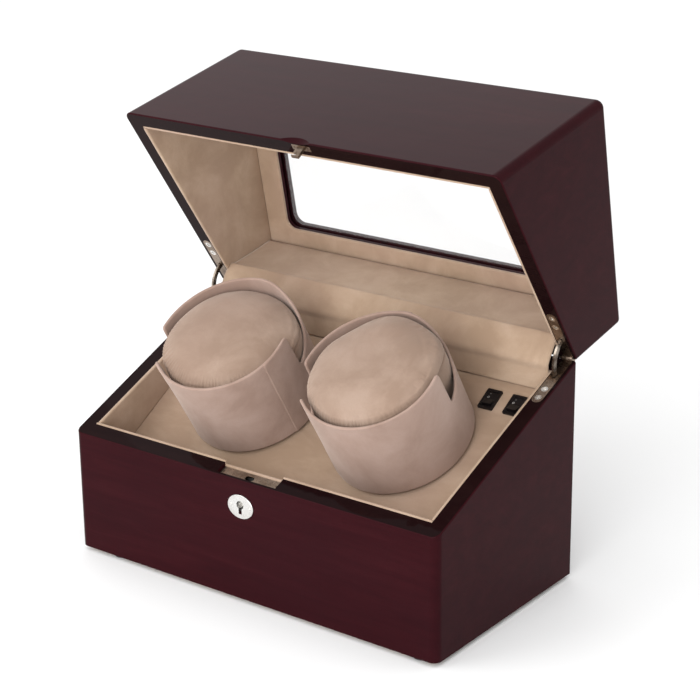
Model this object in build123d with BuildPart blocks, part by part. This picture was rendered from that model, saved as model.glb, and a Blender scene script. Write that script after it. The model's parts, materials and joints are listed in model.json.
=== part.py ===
from build123d import *
from math import atan2, cos, degrees, hypot, radians, sin, tan
import os

# Double watch winder box: a wedge-split lacquered case with a glazed lid, held open at rest.
# Millimetres. X to the right, Y to the back, Z up; Z = 0 is the surface the feet stand on,
# and X = Y = 0 is the middle of the open box's footprint.

# ---- case ----
WIDTH = 320.0
DEPTH = 170.0
FRONT_HEIGHT = 90.3
REAR_HEIGHT = 161.5
CLOSED_HEIGHT = 223.8
SIDE_WALL = 11.5
FRONT_WALL = 11.0
REAR_WALL = 12.5
TOP_WALL = 11.5
LINER = 2.3
RIM_GAP = 0.4
FRONT_CORNER_R = 6.0
REAR_CORNER_R = 2.5
TOP_EDGE_R = 5.0
RIM_EDGE_R = 0.8
FOOT_HEIGHT = 3.5
FRONT_Y = -114.13

# ---- lid ----
LID_OPENING = 78.7
WINDOW_SIDE = 32.0
WINDOW_END = 28.4
WINDOW_CORNER_R = 8.0
GLASS_THICKNESS = 4.0
GLASS_DEPTH = 4.5
GLASS_REBATE = 5.0
THUMB_X = -4.0
THUMB_WIDTH = 27.0
THUMB_HEIGHT = 6.0

# ---- deck and cups ----
DECK_ANGLE = 31.0
DECK_REAR_DROP = 21.4
DECK_THICKNESS = 4.5
CUP_X = 64.7
CUP_Y = 97.7
CUP_R = 52.5
CUP_WALL = 2.2
CUP_LIFT = 3.0
CUP_HEIGHT = 70.0
CUP_FLOOR = 3.0
STRAP_DIP = 28.0
STRAP_OPENINGS = ((8.0, 76.0, 1), (190.0, 40.0, -1))
CUSHION_R = 49.3
CUSHION_BOTTOM = 11.0
CUSHION_SHOULDER = 58.0
CUSHION_TOP = 79.0
CUSHION_DOME = ((46.4, 66.0), (36.6, 73.0), (20.2, 77.4))

# ---- motors ----
GEARBOX_R = 17.0
GEARBOX_LENGTH = 16.0
MOTOR_R = 12.2
MOTOR_LENGTH = 20.0
MOTOR_BOSS_R = 5.3
SPINDLE_R = 3.0
SPINDLE_FIT = 0.05
SPINDLE_DEPTH = 16.5
HUB_R = 16.0
HUB_BOSS_R = 6.0
BRACKET = (48.0, 38.0, 2.0)
BRACKET_SCREW_X = 19.0
BRACKET_SCREW_Y = 14.0
BRACKET_SCREW = (2.2, 1.2, 5.8)

# ---- switches ----
SWITCH_XS = (109.1, 129.7)
SWITCH_Y = 139.4
SWITCH_LENGTH = 17.4
SWITCH_WIDTH = 12.0
SWITCH_FLANGE = 1.6
SWITCH_BODY = (14.2, 9.6, 12.0)
SWITCH_WINDOW = (12.9, 7.8, 7.0)
ROCKER_WIDTH = 7.4
ROCKER_PIVOT = 0.4
ROCKER_TILT = 9.0

# ---- lock ----
LOCK_X = -3.3
NOTCH_X = 0.0
NOTCH_WIDTH = 51.6
NOTCH_LIP = 2.0
PLATE_DEPTH = 2.5
PLATE_THICKNESS = 1.2
KEYHOLE_HEIGHT = 71.0
ESCUTCHEON = (22.4, 17.6, 1.2)
CASE_WIDTH = 35.6
CASE_FRONT = 2.8
CASE_DEPTH = 8.0
CASE_BOTTOM = 58.0
CORE_R = 4.5
HOOK_X = -0.3
HOOK_S = 5.8
HOOK_WIDTH = 6.0
HOOK_THICKNESS = 2.2
HOOK_REACH = 8.2

# ---- hinges ----
LEAF_X = 153.1
LEAF_WIDTH = 8.0
LEAF_LENGTH = 47.5
LEAF_THICKNESS = 1.6
BARREL_R = 2.6
PIN_R = 1.1
PIN_INNER = 10.0
KNUCKLE = 3.2
STAY_THICKNESS = 1.6
STAY_RADII = (17.2, 20.8)
STAY_HEAD_RADII = (16.0, 22.0)
STAY_HEAD_ANGLE = 4.5
STAY_TUCK = 7.8

# ---- derived frames ----
REAR_Y = FRONT_Y + DEPTH
FRONT_RIM_Z = FOOT_HEIGHT + FRONT_HEIGHT
REAR_RIM_Z = FOOT_HEIGHT + REAR_HEIGHT
TOP_Z = FOOT_HEIGHT + CLOSED_HEIGHT
RIM_ANGLE = degrees(atan2(REAR_HEIGHT - FRONT_HEIGHT, DEPTH))
RIM_LENGTH = hypot(DEPTH, REAR_HEIGHT - FRONT_HEIGHT)
RIM_NORMAL = (0, -sin(radians(RIM_ANGLE)), cos(radians(RIM_ANGLE)))
RIM = Plane(origin=(0, FRONT_Y, FRONT_RIM_Z), x_dir=(1, 0, 0), z_dir=RIM_NORMAL)
HINGE_S = RIM_LENGTH
HINGE_POINT = RIM.from_local_coords((0, HINGE_S, RIM_GAP / 2))
HINGE_AXIS = Axis(HINGE_POINT, (1, 0, 0))
HINGE_SIDE = Plane(origin=HINGE_POINT, x_dir=(0, 1, 0), z_dir=(1, 0, 0))
RIM_DIRECTION = 180 + RIM_ANGLE

INNER_X = WIDTH / 2 - SIDE_WALL
INNER_FRONT_Y = FRONT_Y + FRONT_WALL
INNER_REAR_Y = REAR_Y - REAR_WALL
INNER_DEPTH = INNER_REAR_Y - INNER_FRONT_Y
INNER_MID_Y = (INNER_FRONT_Y + INNER_REAR_Y) / 2
INNER_TOP_Z = TOP_Z - TOP_WALL

DECK_REAR_Y = INNER_REAR_Y - LINER
DECK_FRONT_Y = INNER_FRONT_Y + LINER
DECK_REAR_Z = REAR_RIM_Z - DECK_REAR_DROP
DECK_NORMAL = (0, -sin(radians(DECK_ANGLE)), cos(radians(DECK_ANGLE)))


def deck_z(y):
    return DECK_REAR_Z - (DECK_REAR_Y - y) * tan(radians(DECK_ANGLE))


def deck_plane(x, y):
    return Plane(origin=(x, y, deck_z(y)), x_dir=(1, 0, 0), z_dir=DECK_NORMAL)


def rim_z(y):
    return FRONT_RIM_Z + (y - FRONT_Y) * tan(radians(RIM_ANGLE))


def polar(radius, angle):
    return (radius * cos(radians(angle)), radius * sin(radians(angle)))


LEAF_OUTLINE_S = HINGE_S - LEAF_LENGTH
LEAF_SCREW_S = (LEAF_OUTLINE_S + 5.0, LEAF_OUTLINE_S + 14.0)
HINGE_SCREW = (2.5, 1.2, 9.0)
PLATE_SCREW = (1.5, 0.8, 8.0)
PLATE_SCREW_XS = (NOTCH_X - 23.4, NOTCH_X + 23.4)
HOOK_SCREW_XS = (HOOK_X - 5.6, HOOK_X + 5.6)

SIDES = {"left": -1, "right": 1}
CUP_PLANES = {side: deck_plane(sign * CUP_X, FRONT_Y + CUP_Y) for side, sign in SIDES.items()}
SWITCH_PLANES = {
    side: deck_plane(x, FRONT_Y + SWITCH_Y) for side, x in zip(("left", "right"), SWITCH_XS)
}
pieces = {}
lid_pieces = {}


def on(plane, x, y, z=0):
    return plane.location * Location((x, y, z))


FLIP = Location((0, 0, 0), (180, 0, 0))


def arc_band(inner_r, outer_r, start, sweep):
    with BuildSketch() as band:
        with BuildLine():
            CenterArc((0, 0), outer_r, start, sweep)
            CenterArc((0, 0), inner_r, start, sweep)
            Line(polar(inner_r, start), polar(outer_r, start))
            Line(polar(inner_r, start + sweep), polar(outer_r, start + sweep))
        make_face()
    return band.sketch


def leaf_outline():
    with BuildSketch() as outline:
        with Locations((0, LEAF_OUTLINE_S + LEAF_WIDTH / 2)):
            Circle(LEAF_WIDTH / 2)
            Rectangle(LEAF_WIDTH, LEAF_LENGTH - LEAF_WIDTH / 2, align=(Align.CENTER, Align.MIN))
    return outline.sketch


def screw(head_r, shank_r, length, slotted=True):
    with BuildPart() as body:
        with BuildSketch(Plane.XZ):
            Polygon(
                (0, 0),
                (head_r, 0),
                (shank_r, shank_r - head_r),
                (shank_r, -length),
                (0, -length),
                align=None,
            )
        revolve(axis=Axis.Z)
        if slotted:
            with BuildSketch():
                Rectangle(1.3 * head_r, 0.25 * head_r)
                Rectangle(0.25 * head_r, 1.3 * head_r)
            extrude(amount=-0.3 * head_r, mode=Mode.SUBTRACT)
    return body.part


# ---- base shell: four lacquered walls cut on a slope ----
FLOOR_REBATE = 8.0
FLOOR_THICKNESS = 5.0
FLOOR_SIZE = (2 * (INNER_X + FLOOR_REBATE), INNER_DEPTH + 2 * FLOOR_REBATE)
POCKET_WIDTH = 2.6
POCKET_RADII = (15.2, 22.8)
POCKET_SWEEP = 56.0
BARREL_RECESS_R = 3.1
BARREL_RECESS_WIDTH = LEAF_WIDTH + 0.6
PIN_GROOVE_R = PIN_R + 0.3
PIN_GROOVE = PIN_INNER + 0.3
CORE_HOLE_R = 4.7
INLET_X = -110.0
INLET_Z = 34.0
INLET_BODY_R = 5.5
KEYHOLE_Z = FOOT_HEIGHT + KEYHOLE_HEIGHT
MORTISE_WIDTH = CASE_WIDTH + 0.2
FLOOR_SCREW = (2.6, 1.4, 16.0)
FLOOR_SCREW_INSET = 4.0
FLOOR_SCREW_XS = (-100.0, 0.0, 100.0)
FLOOR_UNDERSIDE = Plane.XY.offset(FOOT_HEIGHT)
floor_screw_spots = [
    on(FLOOR_UNDERSIDE, x, y) * FLIP
    for x in FLOOR_SCREW_XS
    for y in (INNER_FRONT_Y - FLOOR_SCREW_INSET, INNER_REAR_Y + FLOOR_SCREW_INSET)
]

with BuildPart() as base_shell:
    with BuildSketch(Plane.YZ):
        Polygon(
            (FRONT_Y, FOOT_HEIGHT),
            (REAR_Y, FOOT_HEIGHT),
            (REAR_Y, REAR_RIM_Z),
            (FRONT_Y, FRONT_RIM_Z),
            align=None,
        )
    extrude(amount=WIDTH / 2, both=True)
    fillet(base_shell.edges().filter_by(Axis.Z).group_by(Axis.Y)[0], FRONT_CORNER_R)
    fillet(base_shell.edges().filter_by(Axis.Z).group_by(Axis.Y)[-1], REAR_CORNER_R)
    fillet(base_shell.faces().filter_by(RIM).edges(), RIM_EDGE_R)
    with BuildSketch(Plane.XY):
        with Locations((0, INNER_MID_Y)):
            Rectangle(2 * INNER_X, INNER_DEPTH)
    extrude(amount=TOP_Z, mode=Mode.SUBTRACT)
    with BuildSketch(Plane.XY.offset(FOOT_HEIGHT)):
        with Locations((0, INNER_MID_Y)):
            Rectangle(*FLOOR_SIZE)
    extrude(amount=FLOOR_THICKNESS, mode=Mode.SUBTRACT)
    # lock notch in the rim, and the mortise for the lock case below it
    with BuildSketch(RIM.offset(-PLATE_DEPTH - PLATE_THICKNESS)):
        with Locations((NOTCH_X, NOTCH_LIP)):
            Rectangle(NOTCH_WIDTH, FRONT_WALL * 2, align=(Align.CENTER, Align.MIN))
    extrude(amount=NOTCH_WIDTH, mode=Mode.SUBTRACT)
    with BuildSketch(Plane.XY.offset(FOOT_HEIGHT + CASE_BOTTOM)):
        with Locations((LOCK_X, FRONT_Y + CASE_FRONT)):
            Rectangle(MORTISE_WIDTH, FRONT_WALL, align=(Align.CENTER, Align.MIN))
    extrude(amount=NOTCH_WIDTH, mode=Mode.SUBTRACT)
    with BuildSketch(Plane.XZ.offset(-FRONT_Y - FRONT_WALL)):
        with Locations((LOCK_X, KEYHOLE_Z)):
            Circle(CORE_HOLE_R)
    extrude(amount=FRONT_WALL, mode=Mode.SUBTRACT)
    # power inlet hole in the back wall
    with BuildSketch(Plane.XZ.offset(-REAR_Y)):
        with Locations((INLET_X, INLET_Z)):
            Circle(INLET_BODY_R)
    extrude(amount=REAR_WALL, mode=Mode.SUBTRACT)
    # hinge recesses in both side rims
    for sign in SIDES.values():
        with BuildSketch(RIM.offset(-LEAF_THICKNESS)):
            with Locations((sign * LEAF_X, 0)):
                add(leaf_outline())
        extrude(amount=2 * LEAF_THICKNESS, mode=Mode.SUBTRACT)
        with BuildSketch(HINGE_SIDE.offset(sign * LEAF_X)):
            Circle(BARREL_RECESS_R)
        extrude(amount=BARREL_RECESS_WIDTH / 2, both=True, mode=Mode.SUBTRACT)
        with BuildSketch(HINGE_SIDE.offset(sign * LEAF_X)):
            Circle(PIN_GROOVE_R)
        extrude(amount=-sign * PIN_GROOVE, mode=Mode.SUBTRACT)
        with BuildSketch(HINGE_SIDE.offset(sign * LEAF_X)):
            add(arc_band(*POCKET_RADII, RIM_DIRECTION, POCKET_SWEEP))
        extrude(amount=POCKET_WIDTH / 2, both=True, mode=Mode.SUBTRACT)
    for sign in SIDES.values():
        with Locations(*[on(RIM, sign * LEAF_X, s) for s in LEAF_SCREW_S]):
            add(screw(*HINGE_SCREW, slotted=False), mode=Mode.SUBTRACT)
    with Locations(*[on(RIM, x, HOOK_S, -PLATE_DEPTH) for x in PLATE_SCREW_XS]):
        add(screw(*PLATE_SCREW, slotted=False), mode=Mode.SUBTRACT)
    with Locations(*floor_screw_spots):
        add(screw(*FLOOR_SCREW, slotted=False), mode=Mode.SUBTRACT)
pieces["base_shell"] = base_shell.part

# ---- bottom panel, its screws and the feet ----
FLOOR_CLEARANCE = 0.3
FOOT_R = 6.5
FOOT_XS = (-127.0, 142.0)
FOOT_INSET = 9.0
with BuildPart() as bottom_panel:
    with BuildSketch(FLOOR_UNDERSIDE):
        with Locations((0, INNER_MID_Y)):
            Rectangle(FLOOR_SIZE[0] - 2 * FLOOR_CLEARANCE, FLOOR_SIZE[1] - 2 * FLOOR_CLEARANCE)
    extrude(amount=FLOOR_THICKNESS)
    with Locations(*floor_screw_spots):
        add(screw(*FLOOR_SCREW, slotted=False), mode=Mode.SUBTRACT)
pieces["bottom_panel"] = bottom_panel.part

with BuildPart() as bottom_screws:
    with Locations(*floor_screw_spots):
        add(screw(*FLOOR_SCREW))
pieces["bottom_screws"] = bottom_screws.part

with BuildPart() as feet:
    with BuildSketch(Plane.XY):
        with Locations(
            *[
                (x, y)
                for x in FOOT_XS
                for y in (FRONT_Y + FOOT_INSET, REAR_Y - FOOT_INSET)
            ]
        ):
            Circle(FOOT_R)
    extrude(amount=FOOT_HEIGHT)
    fillet(feet.edges().group_by(Axis.Z)[0], FOOT_HEIGHT * 0.7)
pieces["feet"] = feet.part

# ---- sloping deck and the cleats that carry it ----
DECK_CLEARANCE = 0.2
DECK_HOLE_R = 6.0
CLEAT = (8.0, 10.0)
CLEAT_INSET = 14.0
bracket_bottom = -DECK_THICKNESS - BRACKET[2]
bracket_screw_spots = {
    side: [
        on(plane, x, y, bracket_bottom) * FLIP
        for x in (-BRACKET_SCREW_X, BRACKET_SCREW_X)
        for y in (-BRACKET_SCREW_Y, BRACKET_SCREW_Y)
    ]
    for side, plane in CUP_PLANES.items()
}
deck_span = (INNER_FRONT_Y + DECK_CLEARANCE, INNER_REAR_Y - DECK_CLEARANCE)
deck_drop = DECK_THICKNESS / cos(radians(DECK_ANGLE))
cleat_drop = deck_drop + CLEAT[1] / cos(radians(DECK_ANGLE))

with BuildPart() as deck:
    with BuildSketch(Plane.YZ):
        Polygon(
            (deck_span[0], deck_z(deck_span[0])),
            (deck_span[1], deck_z(deck_span[1])),
            (deck_span[1], deck_z(deck_span[1]) - deck_drop),
            (deck_span[0], deck_z(deck_span[0]) - deck_drop),
            align=None,
        )
    extrude(amount=INNER_X - DECK_CLEARANCE, both=True)
    for plane in CUP_PLANES.values():
        with BuildSketch(plane):
            Circle(DECK_HOLE_R)
        extrude(amount=-2 * DECK_THICKNESS, mode=Mode.SUBTRACT)
    for plane in SWITCH_PLANES.values():
        with BuildSketch(plane):
            Rectangle(SWITCH_BODY[1], SWITCH_BODY[0])
        extrude(amount=-2 * DECK_THICKNESS, mode=Mode.SUBTRACT)
    for spots in bracket_screw_spots.values():
        with Locations(*spots):
            add(screw(*BRACKET_SCREW, slotted=False), mode=Mode.SUBTRACT)
pieces["deck"] = deck.part

for side, sign in SIDES.items():
    with BuildPart() as deck_cleat:
        with BuildSketch(Plane.YZ.offset(sign * (INNER_X - CLEAT[0] / 2))):
            Polygon(
                *[
                    (y, deck_z(y) - drop)
                    for y, drop in (
                        (INNER_FRONT_Y + CLEAT_INSET, deck_drop),
                        (INNER_REAR_Y - CLEAT_INSET, deck_drop),
                        (INNER_REAR_Y - CLEAT_INSET, cleat_drop),
                        (INNER_FRONT_Y + CLEAT_INSET, cleat_drop),
                    )
                ],
                align=None,
            )
        extrude(amount=CLEAT[0] / 2, both=True)
    pieces[f"deck_cleat_{side}"] = deck_cleat.part

# ---- base liners: thin covered boards standing on the deck, flush with the rim ----
with BuildPart() as base_liner_front:
    with BuildSketch(Plane.YZ):
        Polygon(
            (INNER_FRONT_Y, deck_z(INNER_FRONT_Y)),
            (DECK_FRONT_Y, deck_z(DECK_FRONT_Y)),
            (DECK_FRONT_Y, rim_z(DECK_FRONT_Y)),
            (INNER_FRONT_Y, rim_z(INNER_FRONT_Y)),
            align=None,
        )
    extrude(amount=INNER_X, both=True)
    with BuildSketch(RIM.offset(-PLATE_DEPTH)):
        with Locations((NOTCH_X, 0)):
            Rectangle(NOTCH_WIDTH, 4 * FRONT_WALL)
    extrude(amount=FRONT_WALL, mode=Mode.SUBTRACT)
pieces["base_liner_front"] = base_liner_front.part

with BuildPart() as base_liner_rear:
    with BuildSketch(Plane.YZ):
        Polygon(
            (DECK_REAR_Y, deck_z(DECK_REAR_Y)),
            (INNER_REAR_Y, deck_z(INNER_REAR_Y)),
            (INNER_REAR_Y, rim_z(INNER_REAR_Y)),
            (DECK_REAR_Y, rim_z(DECK_REAR_Y)),
            align=None,
        )
    extrude(amount=INNER_X, both=True)
pieces["base_liner_rear"] = base_liner_rear.part

for side, sign in SIDES.items():
    with BuildPart() as base_liner_side:
        with BuildSketch(Plane.YZ.offset(sign * (INNER_X - LINER / 2))):
            Polygon(
                (DECK_FRONT_Y, deck_z(DECK_FRONT_Y)),
                (DECK_REAR_Y, deck_z(DECK_REAR_Y)),
                (DECK_REAR_Y, rim_z(DECK_REAR_Y)),
                (DECK_FRONT_Y, rim_z(DECK_FRONT_Y)),
                align=None,
            )
        extrude(amount=LINER / 2, both=True)
    pieces[f"base_liner_{side}"] = base_liner_side.part

# ---- lid, made closed and turned open at the end ----
LID_RIM = RIM.offset(RIM_GAP)
LID_LIFT = RIM_GAP / cos(radians(RIM_ANGLE))
WINDOW_SIZE = (WIDTH - 2 * WINDOW_SIDE, DEPTH - 2 * WINDOW_END)
REBATE_SIZE = (WINDOW_SIZE[0] + 2 * GLASS_REBATE, WINDOW_SIZE[1] + 2 * GLASS_REBATE)
GLASS_TOP_Z = TOP_Z - GLASS_DEPTH
GLASS_BOTTOM_Z = GLASS_TOP_Z - GLASS_THICKNESS
LID_MID_Y = FRONT_Y + DEPTH / 2
THUMB_CIRCLE_R = ((THUMB_WIDTH / 2) ** 2 + THUMB_HEIGHT**2) / (2 * THUMB_HEIGHT)
THUMB_DROP = THUMB_CIRCLE_R - THUMB_HEIGHT
THUMB_SETBACK = 34.0
THUMB_SPHERE_R = hypot(THUMB_CIRCLE_R, THUMB_SETBACK)
HOOK_PLATE = (15.6, 5.0, 1.2)
HOOK_SCREW = (1.5, 0.8, 7.0)


def lid_rim_z(y):
    return rim_z(y) + LID_LIFT


with BuildPart() as lid_shell:
    with BuildSketch(Plane.YZ):
        Polygon(
            (FRONT_Y, lid_rim_z(FRONT_Y)),
            (FRONT_Y, TOP_Z),
            (REAR_Y, TOP_Z),
            (REAR_Y, lid_rim_z(REAR_Y)),
            align=None,
        )
    extrude(amount=WIDTH / 2, both=True)
    fillet(lid_shell.edges().filter_by(Axis.Z).group_by(Axis.Y)[0], FRONT_CORNER_R)
    fillet(lid_shell.edges().filter_by(Axis.Z).group_by(Axis.Y)[-1], REAR_CORNER_R)
    fillet(lid_shell.faces().sort_by(Axis.Z)[-1].edges(), TOP_EDGE_R)
    fillet(lid_shell.faces().filter_by(RIM).edges(), RIM_EDGE_R)
    with BuildSketch(Plane.XY):
        with Locations((0, INNER_MID_Y)):
            Rectangle(2 * INNER_X, INNER_DEPTH)
    extrude(amount=INNER_TOP_Z, mode=Mode.SUBTRACT)
    with BuildSketch(Plane.XY.offset(INNER_TOP_Z)):
        with Locations((0, LID_MID_Y)):
            RectangleRounded(*REBATE_SIZE, WINDOW_CORNER_R)
    extrude(amount=GLASS_TOP_Z - INNER_TOP_Z, mode=Mode.SUBTRACT)
    with BuildSketch(Plane.XY.offset(INNER_TOP_Z)):
        with Locations((0, LID_MID_Y)):
            RectangleRounded(*WINDOW_SIZE, WINDOW_CORNER_R)
    extrude(amount=2 * TOP_WALL, mode=Mode.SUBTRACT)
    with Locations((THUMB_X, FRONT_Y - THUMB_SETBACK, lid_rim_z(FRONT_Y) - THUMB_DROP)):
        Sphere(THUMB_SPHERE_R, mode=Mode.SUBTRACT)
    for sign in SIDES.values():
        with BuildSketch(LID_RIM):
            with Locations((sign * LEAF_X, 0)):
                add(leaf_outline())
        extrude(amount=LEAF_THICKNESS, mode=Mode.SUBTRACT)
        with BuildSketch(HINGE_SIDE.offset(sign * LEAF_X)):
            Circle(BARREL_RECESS_R)
        extrude(amount=BARREL_RECESS_WIDTH / 2, both=True, mode=Mode.SUBTRACT)
        with BuildSketch(HINGE_SIDE.offset(sign * LEAF_X)):
            Circle(PIN_GROOVE_R)
        extrude(amount=-sign * PIN_GROOVE, mode=Mode.SUBTRACT)
        with BuildSketch(HINGE_SIDE.offset(sign * LEAF_X)):
            add(arc_band(*POCKET_RADII, RIM_DIRECTION - POCKET_SWEEP, POCKET_SWEEP))
        extrude(amount=POCKET_WIDTH / 2, both=True, mode=Mode.SUBTRACT)
        with Locations(
            *[on(LID_RIM, sign * LEAF_X, s) * FLIP for s in LEAF_SCREW_S]
        ):
            add(screw(*HINGE_SCREW, slotted=False), mode=Mode.SUBTRACT)
    with BuildSketch(LID_RIM):
        with Locations((HOOK_X, HOOK_S)):
            Rectangle(*HOOK_PLATE[:2])
    extrude(amount=HOOK_PLATE[2], mode=Mode.SUBTRACT)
    with Locations(*[on(LID_RIM, x, HOOK_S) * FLIP for x in HOOK_SCREW_XS]):
        add(screw(*HOOK_SCREW, slotted=False), mode=Mode.SUBTRACT)
lid_pieces["lid_shell"] = lid_shell.part

with BuildPart() as window_glass:
    with BuildSketch(Plane.XY.offset(GLASS_BOTTOM_Z)):
        with Locations((0, LID_MID_Y)):
            RectangleRounded(*REBATE_SIZE, WINDOW_CORNER_R)
    extrude(amount=GLASS_THICKNESS)
lid_pieces["window_glass"] = window_glass.part

with BuildPart() as window_bead:
    with BuildSketch(Plane.XY.offset(INNER_TOP_Z)):
        with Locations((0, LID_MID_Y)):
            RectangleRounded(*REBATE_SIZE, WINDOW_CORNER_R)
            RectangleRounded(*WINDOW_SIZE, WINDOW_CORNER_R, mode=Mode.SUBTRACT)
    extrude(amount=GLASS_BOTTOM_Z - INNER_TOP_Z)
lid_pieces["window_bead"] = window_bead.part

with BuildPart() as lid_window_liner:
    with BuildSketch(Plane.XY.offset(INNER_TOP_Z - LINER)):
        with Locations((0, INNER_MID_Y)):
            Rectangle(2 * INNER_X, INNER_DEPTH)
        with Locations((0, LID_MID_Y)):
            RectangleRounded(*WINDOW_SIZE, WINDOW_CORNER_R, mode=Mode.SUBTRACT)
    extrude(amount=LINER)
lid_pieces["lid_window_liner"] = lid_window_liner.part

with BuildPart() as lid_liner_front:
    with BuildSketch(Plane.YZ):
        Polygon(
            (INNER_FRONT_Y, lid_rim_z(INNER_FRONT_Y)),
            (DECK_FRONT_Y, lid_rim_z(DECK_FRONT_Y)),
            (DECK_FRONT_Y, INNER_TOP_Z - LINER),
            (INNER_FRONT_Y, INNER_TOP_Z - LINER),
            align=None,
        )
    extrude(amount=INNER_X, both=True)
lid_pieces["lid_liner_front"] = lid_liner_front.part

with BuildPart() as lid_liner_rear:
    with BuildSketch(Plane.YZ):
        Polygon(
            (DECK_REAR_Y, lid_rim_z(DECK_REAR_Y)),
            (INNER_REAR_Y, lid_rim_z(INNER_REAR_Y)),
            (INNER_REAR_Y, INNER_TOP_Z - LINER),
            (DECK_REAR_Y, INNER_TOP_Z - LINER),
            align=None,
        )
    extrude(amount=INNER_X, both=True)
lid_pieces["lid_liner_rear"] = lid_liner_rear.part

for side, sign in SIDES.items():
    with BuildPart() as lid_liner_side:
        with BuildSketch(Plane.YZ.offset(sign * (INNER_X - LINER / 2))):
            Polygon(
                (DECK_FRONT_Y, lid_rim_z(DECK_FRONT_Y)),
                (DECK_REAR_Y, lid_rim_z(DECK_REAR_Y)),
                (DECK_REAR_Y, INNER_TOP_Z - LINER),
                (DECK_FRONT_Y, INNER_TOP_Z - LINER),
                align=None,
            )
        extrude(amount=LINER / 2, both=True)
    lid_pieces[f"lid_liner_{side}"] = lid_liner_side.part

# ---- quadrant hinges: two leaves, a pin and a curved stay that slides in both leaves ----
KNUCKLE_GAP = 0.1
LID_KNUCKLE = (LEAF_WIDTH - KNUCKLE) / 2 - KNUCKLE_GAP
PIN_FIT = 0.05
TAB_S = HINGE_S - BARREL_RECESS_R
STAY_SLOT = (2.2, 4.8)
STAY_MID_S = HINGE_S - sum(STAY_RADII) / 2
LEAF_BODY = LEAF_LENGTH - BARREL_RECESS_R

for side, sign in SIDES.items():
    with BuildPart() as hinge_base_leaf:
        with BuildSketch(RIM.offset(-LEAF_THICKNESS)):
            with Locations((sign * LEAF_X, 0)):
                add(leaf_outline())
            with Locations((sign * LEAF_X, TAB_S)):
                Rectangle(
                    LEAF_WIDTH, LEAF_WIDTH, align=(Align.CENTER, Align.MIN), mode=Mode.SUBTRACT
                )
                Rectangle(KNUCKLE, BARREL_RECESS_R, align=(Align.CENTER, Align.MIN))
            with Locations((sign * LEAF_X, STAY_MID_S)):
                Rectangle(*STAY_SLOT, mode=Mode.SUBTRACT)
        extrude(amount=LEAF_THICKNESS)
        with BuildSketch(HINGE_SIDE.offset(sign * LEAF_X)):
            Circle(BARREL_R)
        extrude(amount=KNUCKLE / 2, both=True)
        with BuildSketch(HINGE_SIDE.offset(sign * LEAF_X)):
            Circle(PIN_R)
        extrude(amount=LEAF_WIDTH, both=True, mode=Mode.SUBTRACT)
        with Locations(*[on(RIM, sign * LEAF_X, s) for s in LEAF_SCREW_S]):
            add(screw(*HINGE_SCREW, slotted=False), mode=Mode.SUBTRACT)
    pieces[f"hinge_base_leaf_{side}"] = hinge_base_leaf.part

    knuckle_offset = (LEAF_WIDTH - LID_KNUCKLE) / 2
    with BuildPart() as hinge_lid_leaf:
        with BuildSketch(LID_RIM):
            with Locations((sign * LEAF_X, 0)):
                add(leaf_outline())
            with Locations((sign * LEAF_X, TAB_S)):
                Rectangle(
                    LEAF_WIDTH, LEAF_WIDTH, align=(Align.CENTER, Align.MIN), mode=Mode.SUBTRACT
                )
            with Locations(
                (sign * LEAF_X - knuckle_offset, TAB_S), (sign * LEAF_X + knuckle_offset, TAB_S)
            ):
                Rectangle(LID_KNUCKLE, BARREL_RECESS_R, align=(Align.CENTER, Align.MIN))
            with Locations((sign * LEAF_X, STAY_MID_S)):
                Rectangle(*STAY_SLOT, mode=Mode.SUBTRACT)
        extrude(amount=LEAF_THICKNESS)
        for offset_x in (-knuckle_offset, knuckle_offset):
            with BuildSketch(HINGE_SIDE.offset(sign * LEAF_X + offset_x)):
                Circle(BARREL_R)
            extrude(amount=LID_KNUCKLE / 2, both=True)
        with BuildSketch(HINGE_SIDE.offset(sign * LEAF_X)):
            Circle(PIN_R + PIN_FIT)
        extrude(amount=LEAF_WIDTH, both=True, mode=Mode.SUBTRACT)
        with Locations(
            *[on(LID_RIM, sign * LEAF_X, s) * FLIP for s in LEAF_SCREW_S]
        ):
            add(screw(*HINGE_SCREW, slotted=False), mode=Mode.SUBTRACT)
    lid_pieces[f"hinge_lid_leaf_{side}"] = hinge_lid_leaf.part

    # the stay's two ends are wider than the leaf slots and stop the lid at its open angle
    stay_start = RIM_DIRECTION - LID_OPENING - STAY_TUCK
    stay_sweep = LID_OPENING + 2 * STAY_TUCK
    with BuildPart() as hinge_stay:
        with BuildSketch(HINGE_SIDE.offset(sign * LEAF_X)):
            add(arc_band(*STAY_RADII, stay_start, stay_sweep))
            add(arc_band(*STAY_HEAD_RADII, stay_start - STAY_HEAD_ANGLE, STAY_HEAD_ANGLE))
            add(arc_band(*STAY_HEAD_RADII, stay_start + stay_sweep, STAY_HEAD_ANGLE))
        extrude(amount=STAY_THICKNESS / 2, both=True)
    pieces[f"hinge_stay_{side}"] = hinge_stay.part

with BuildPart() as hinge_pins:
    for sign in SIDES.values():
        with BuildSketch(HINGE_SIDE.offset(sign * (LEAF_X + LEAF_WIDTH / 2))):
            Circle(PIN_R)
        extrude(amount=-sign * (LEAF_WIDTH / 2 + PIN_INNER))
pieces["hinge_pins"] = hinge_pins.part

with BuildPart() as hinge_base_screws:
    for sign in SIDES.values():
        with Locations(*[on(RIM, sign * LEAF_X, s) for s in LEAF_SCREW_S]):
            add(screw(*HINGE_SCREW))
pieces["hinge_base_screws"] = hinge_base_screws.part

with BuildPart() as hinge_lid_screws:
    for sign in SIDES.values():
        with Locations(
            *[on(LID_RIM, sign * LEAF_X, s) * FLIP for s in LEAF_SCREW_S]
        ):
            add(screw(*HINGE_SCREW))
lid_pieces["hinge_lid_screws"] = hinge_lid_screws.part

# ---- suede flap bridging the hinge gap behind the cups ----
FLAP_THICKNESS = 1.0
FLAP_WIDTH = 291.6
FLAP_BASE_LAP = 14.7
FLAP_LID_LAP = 46.0
FLAP_CLEARANCE = 0.3
FLAP_R = 8.0


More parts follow.
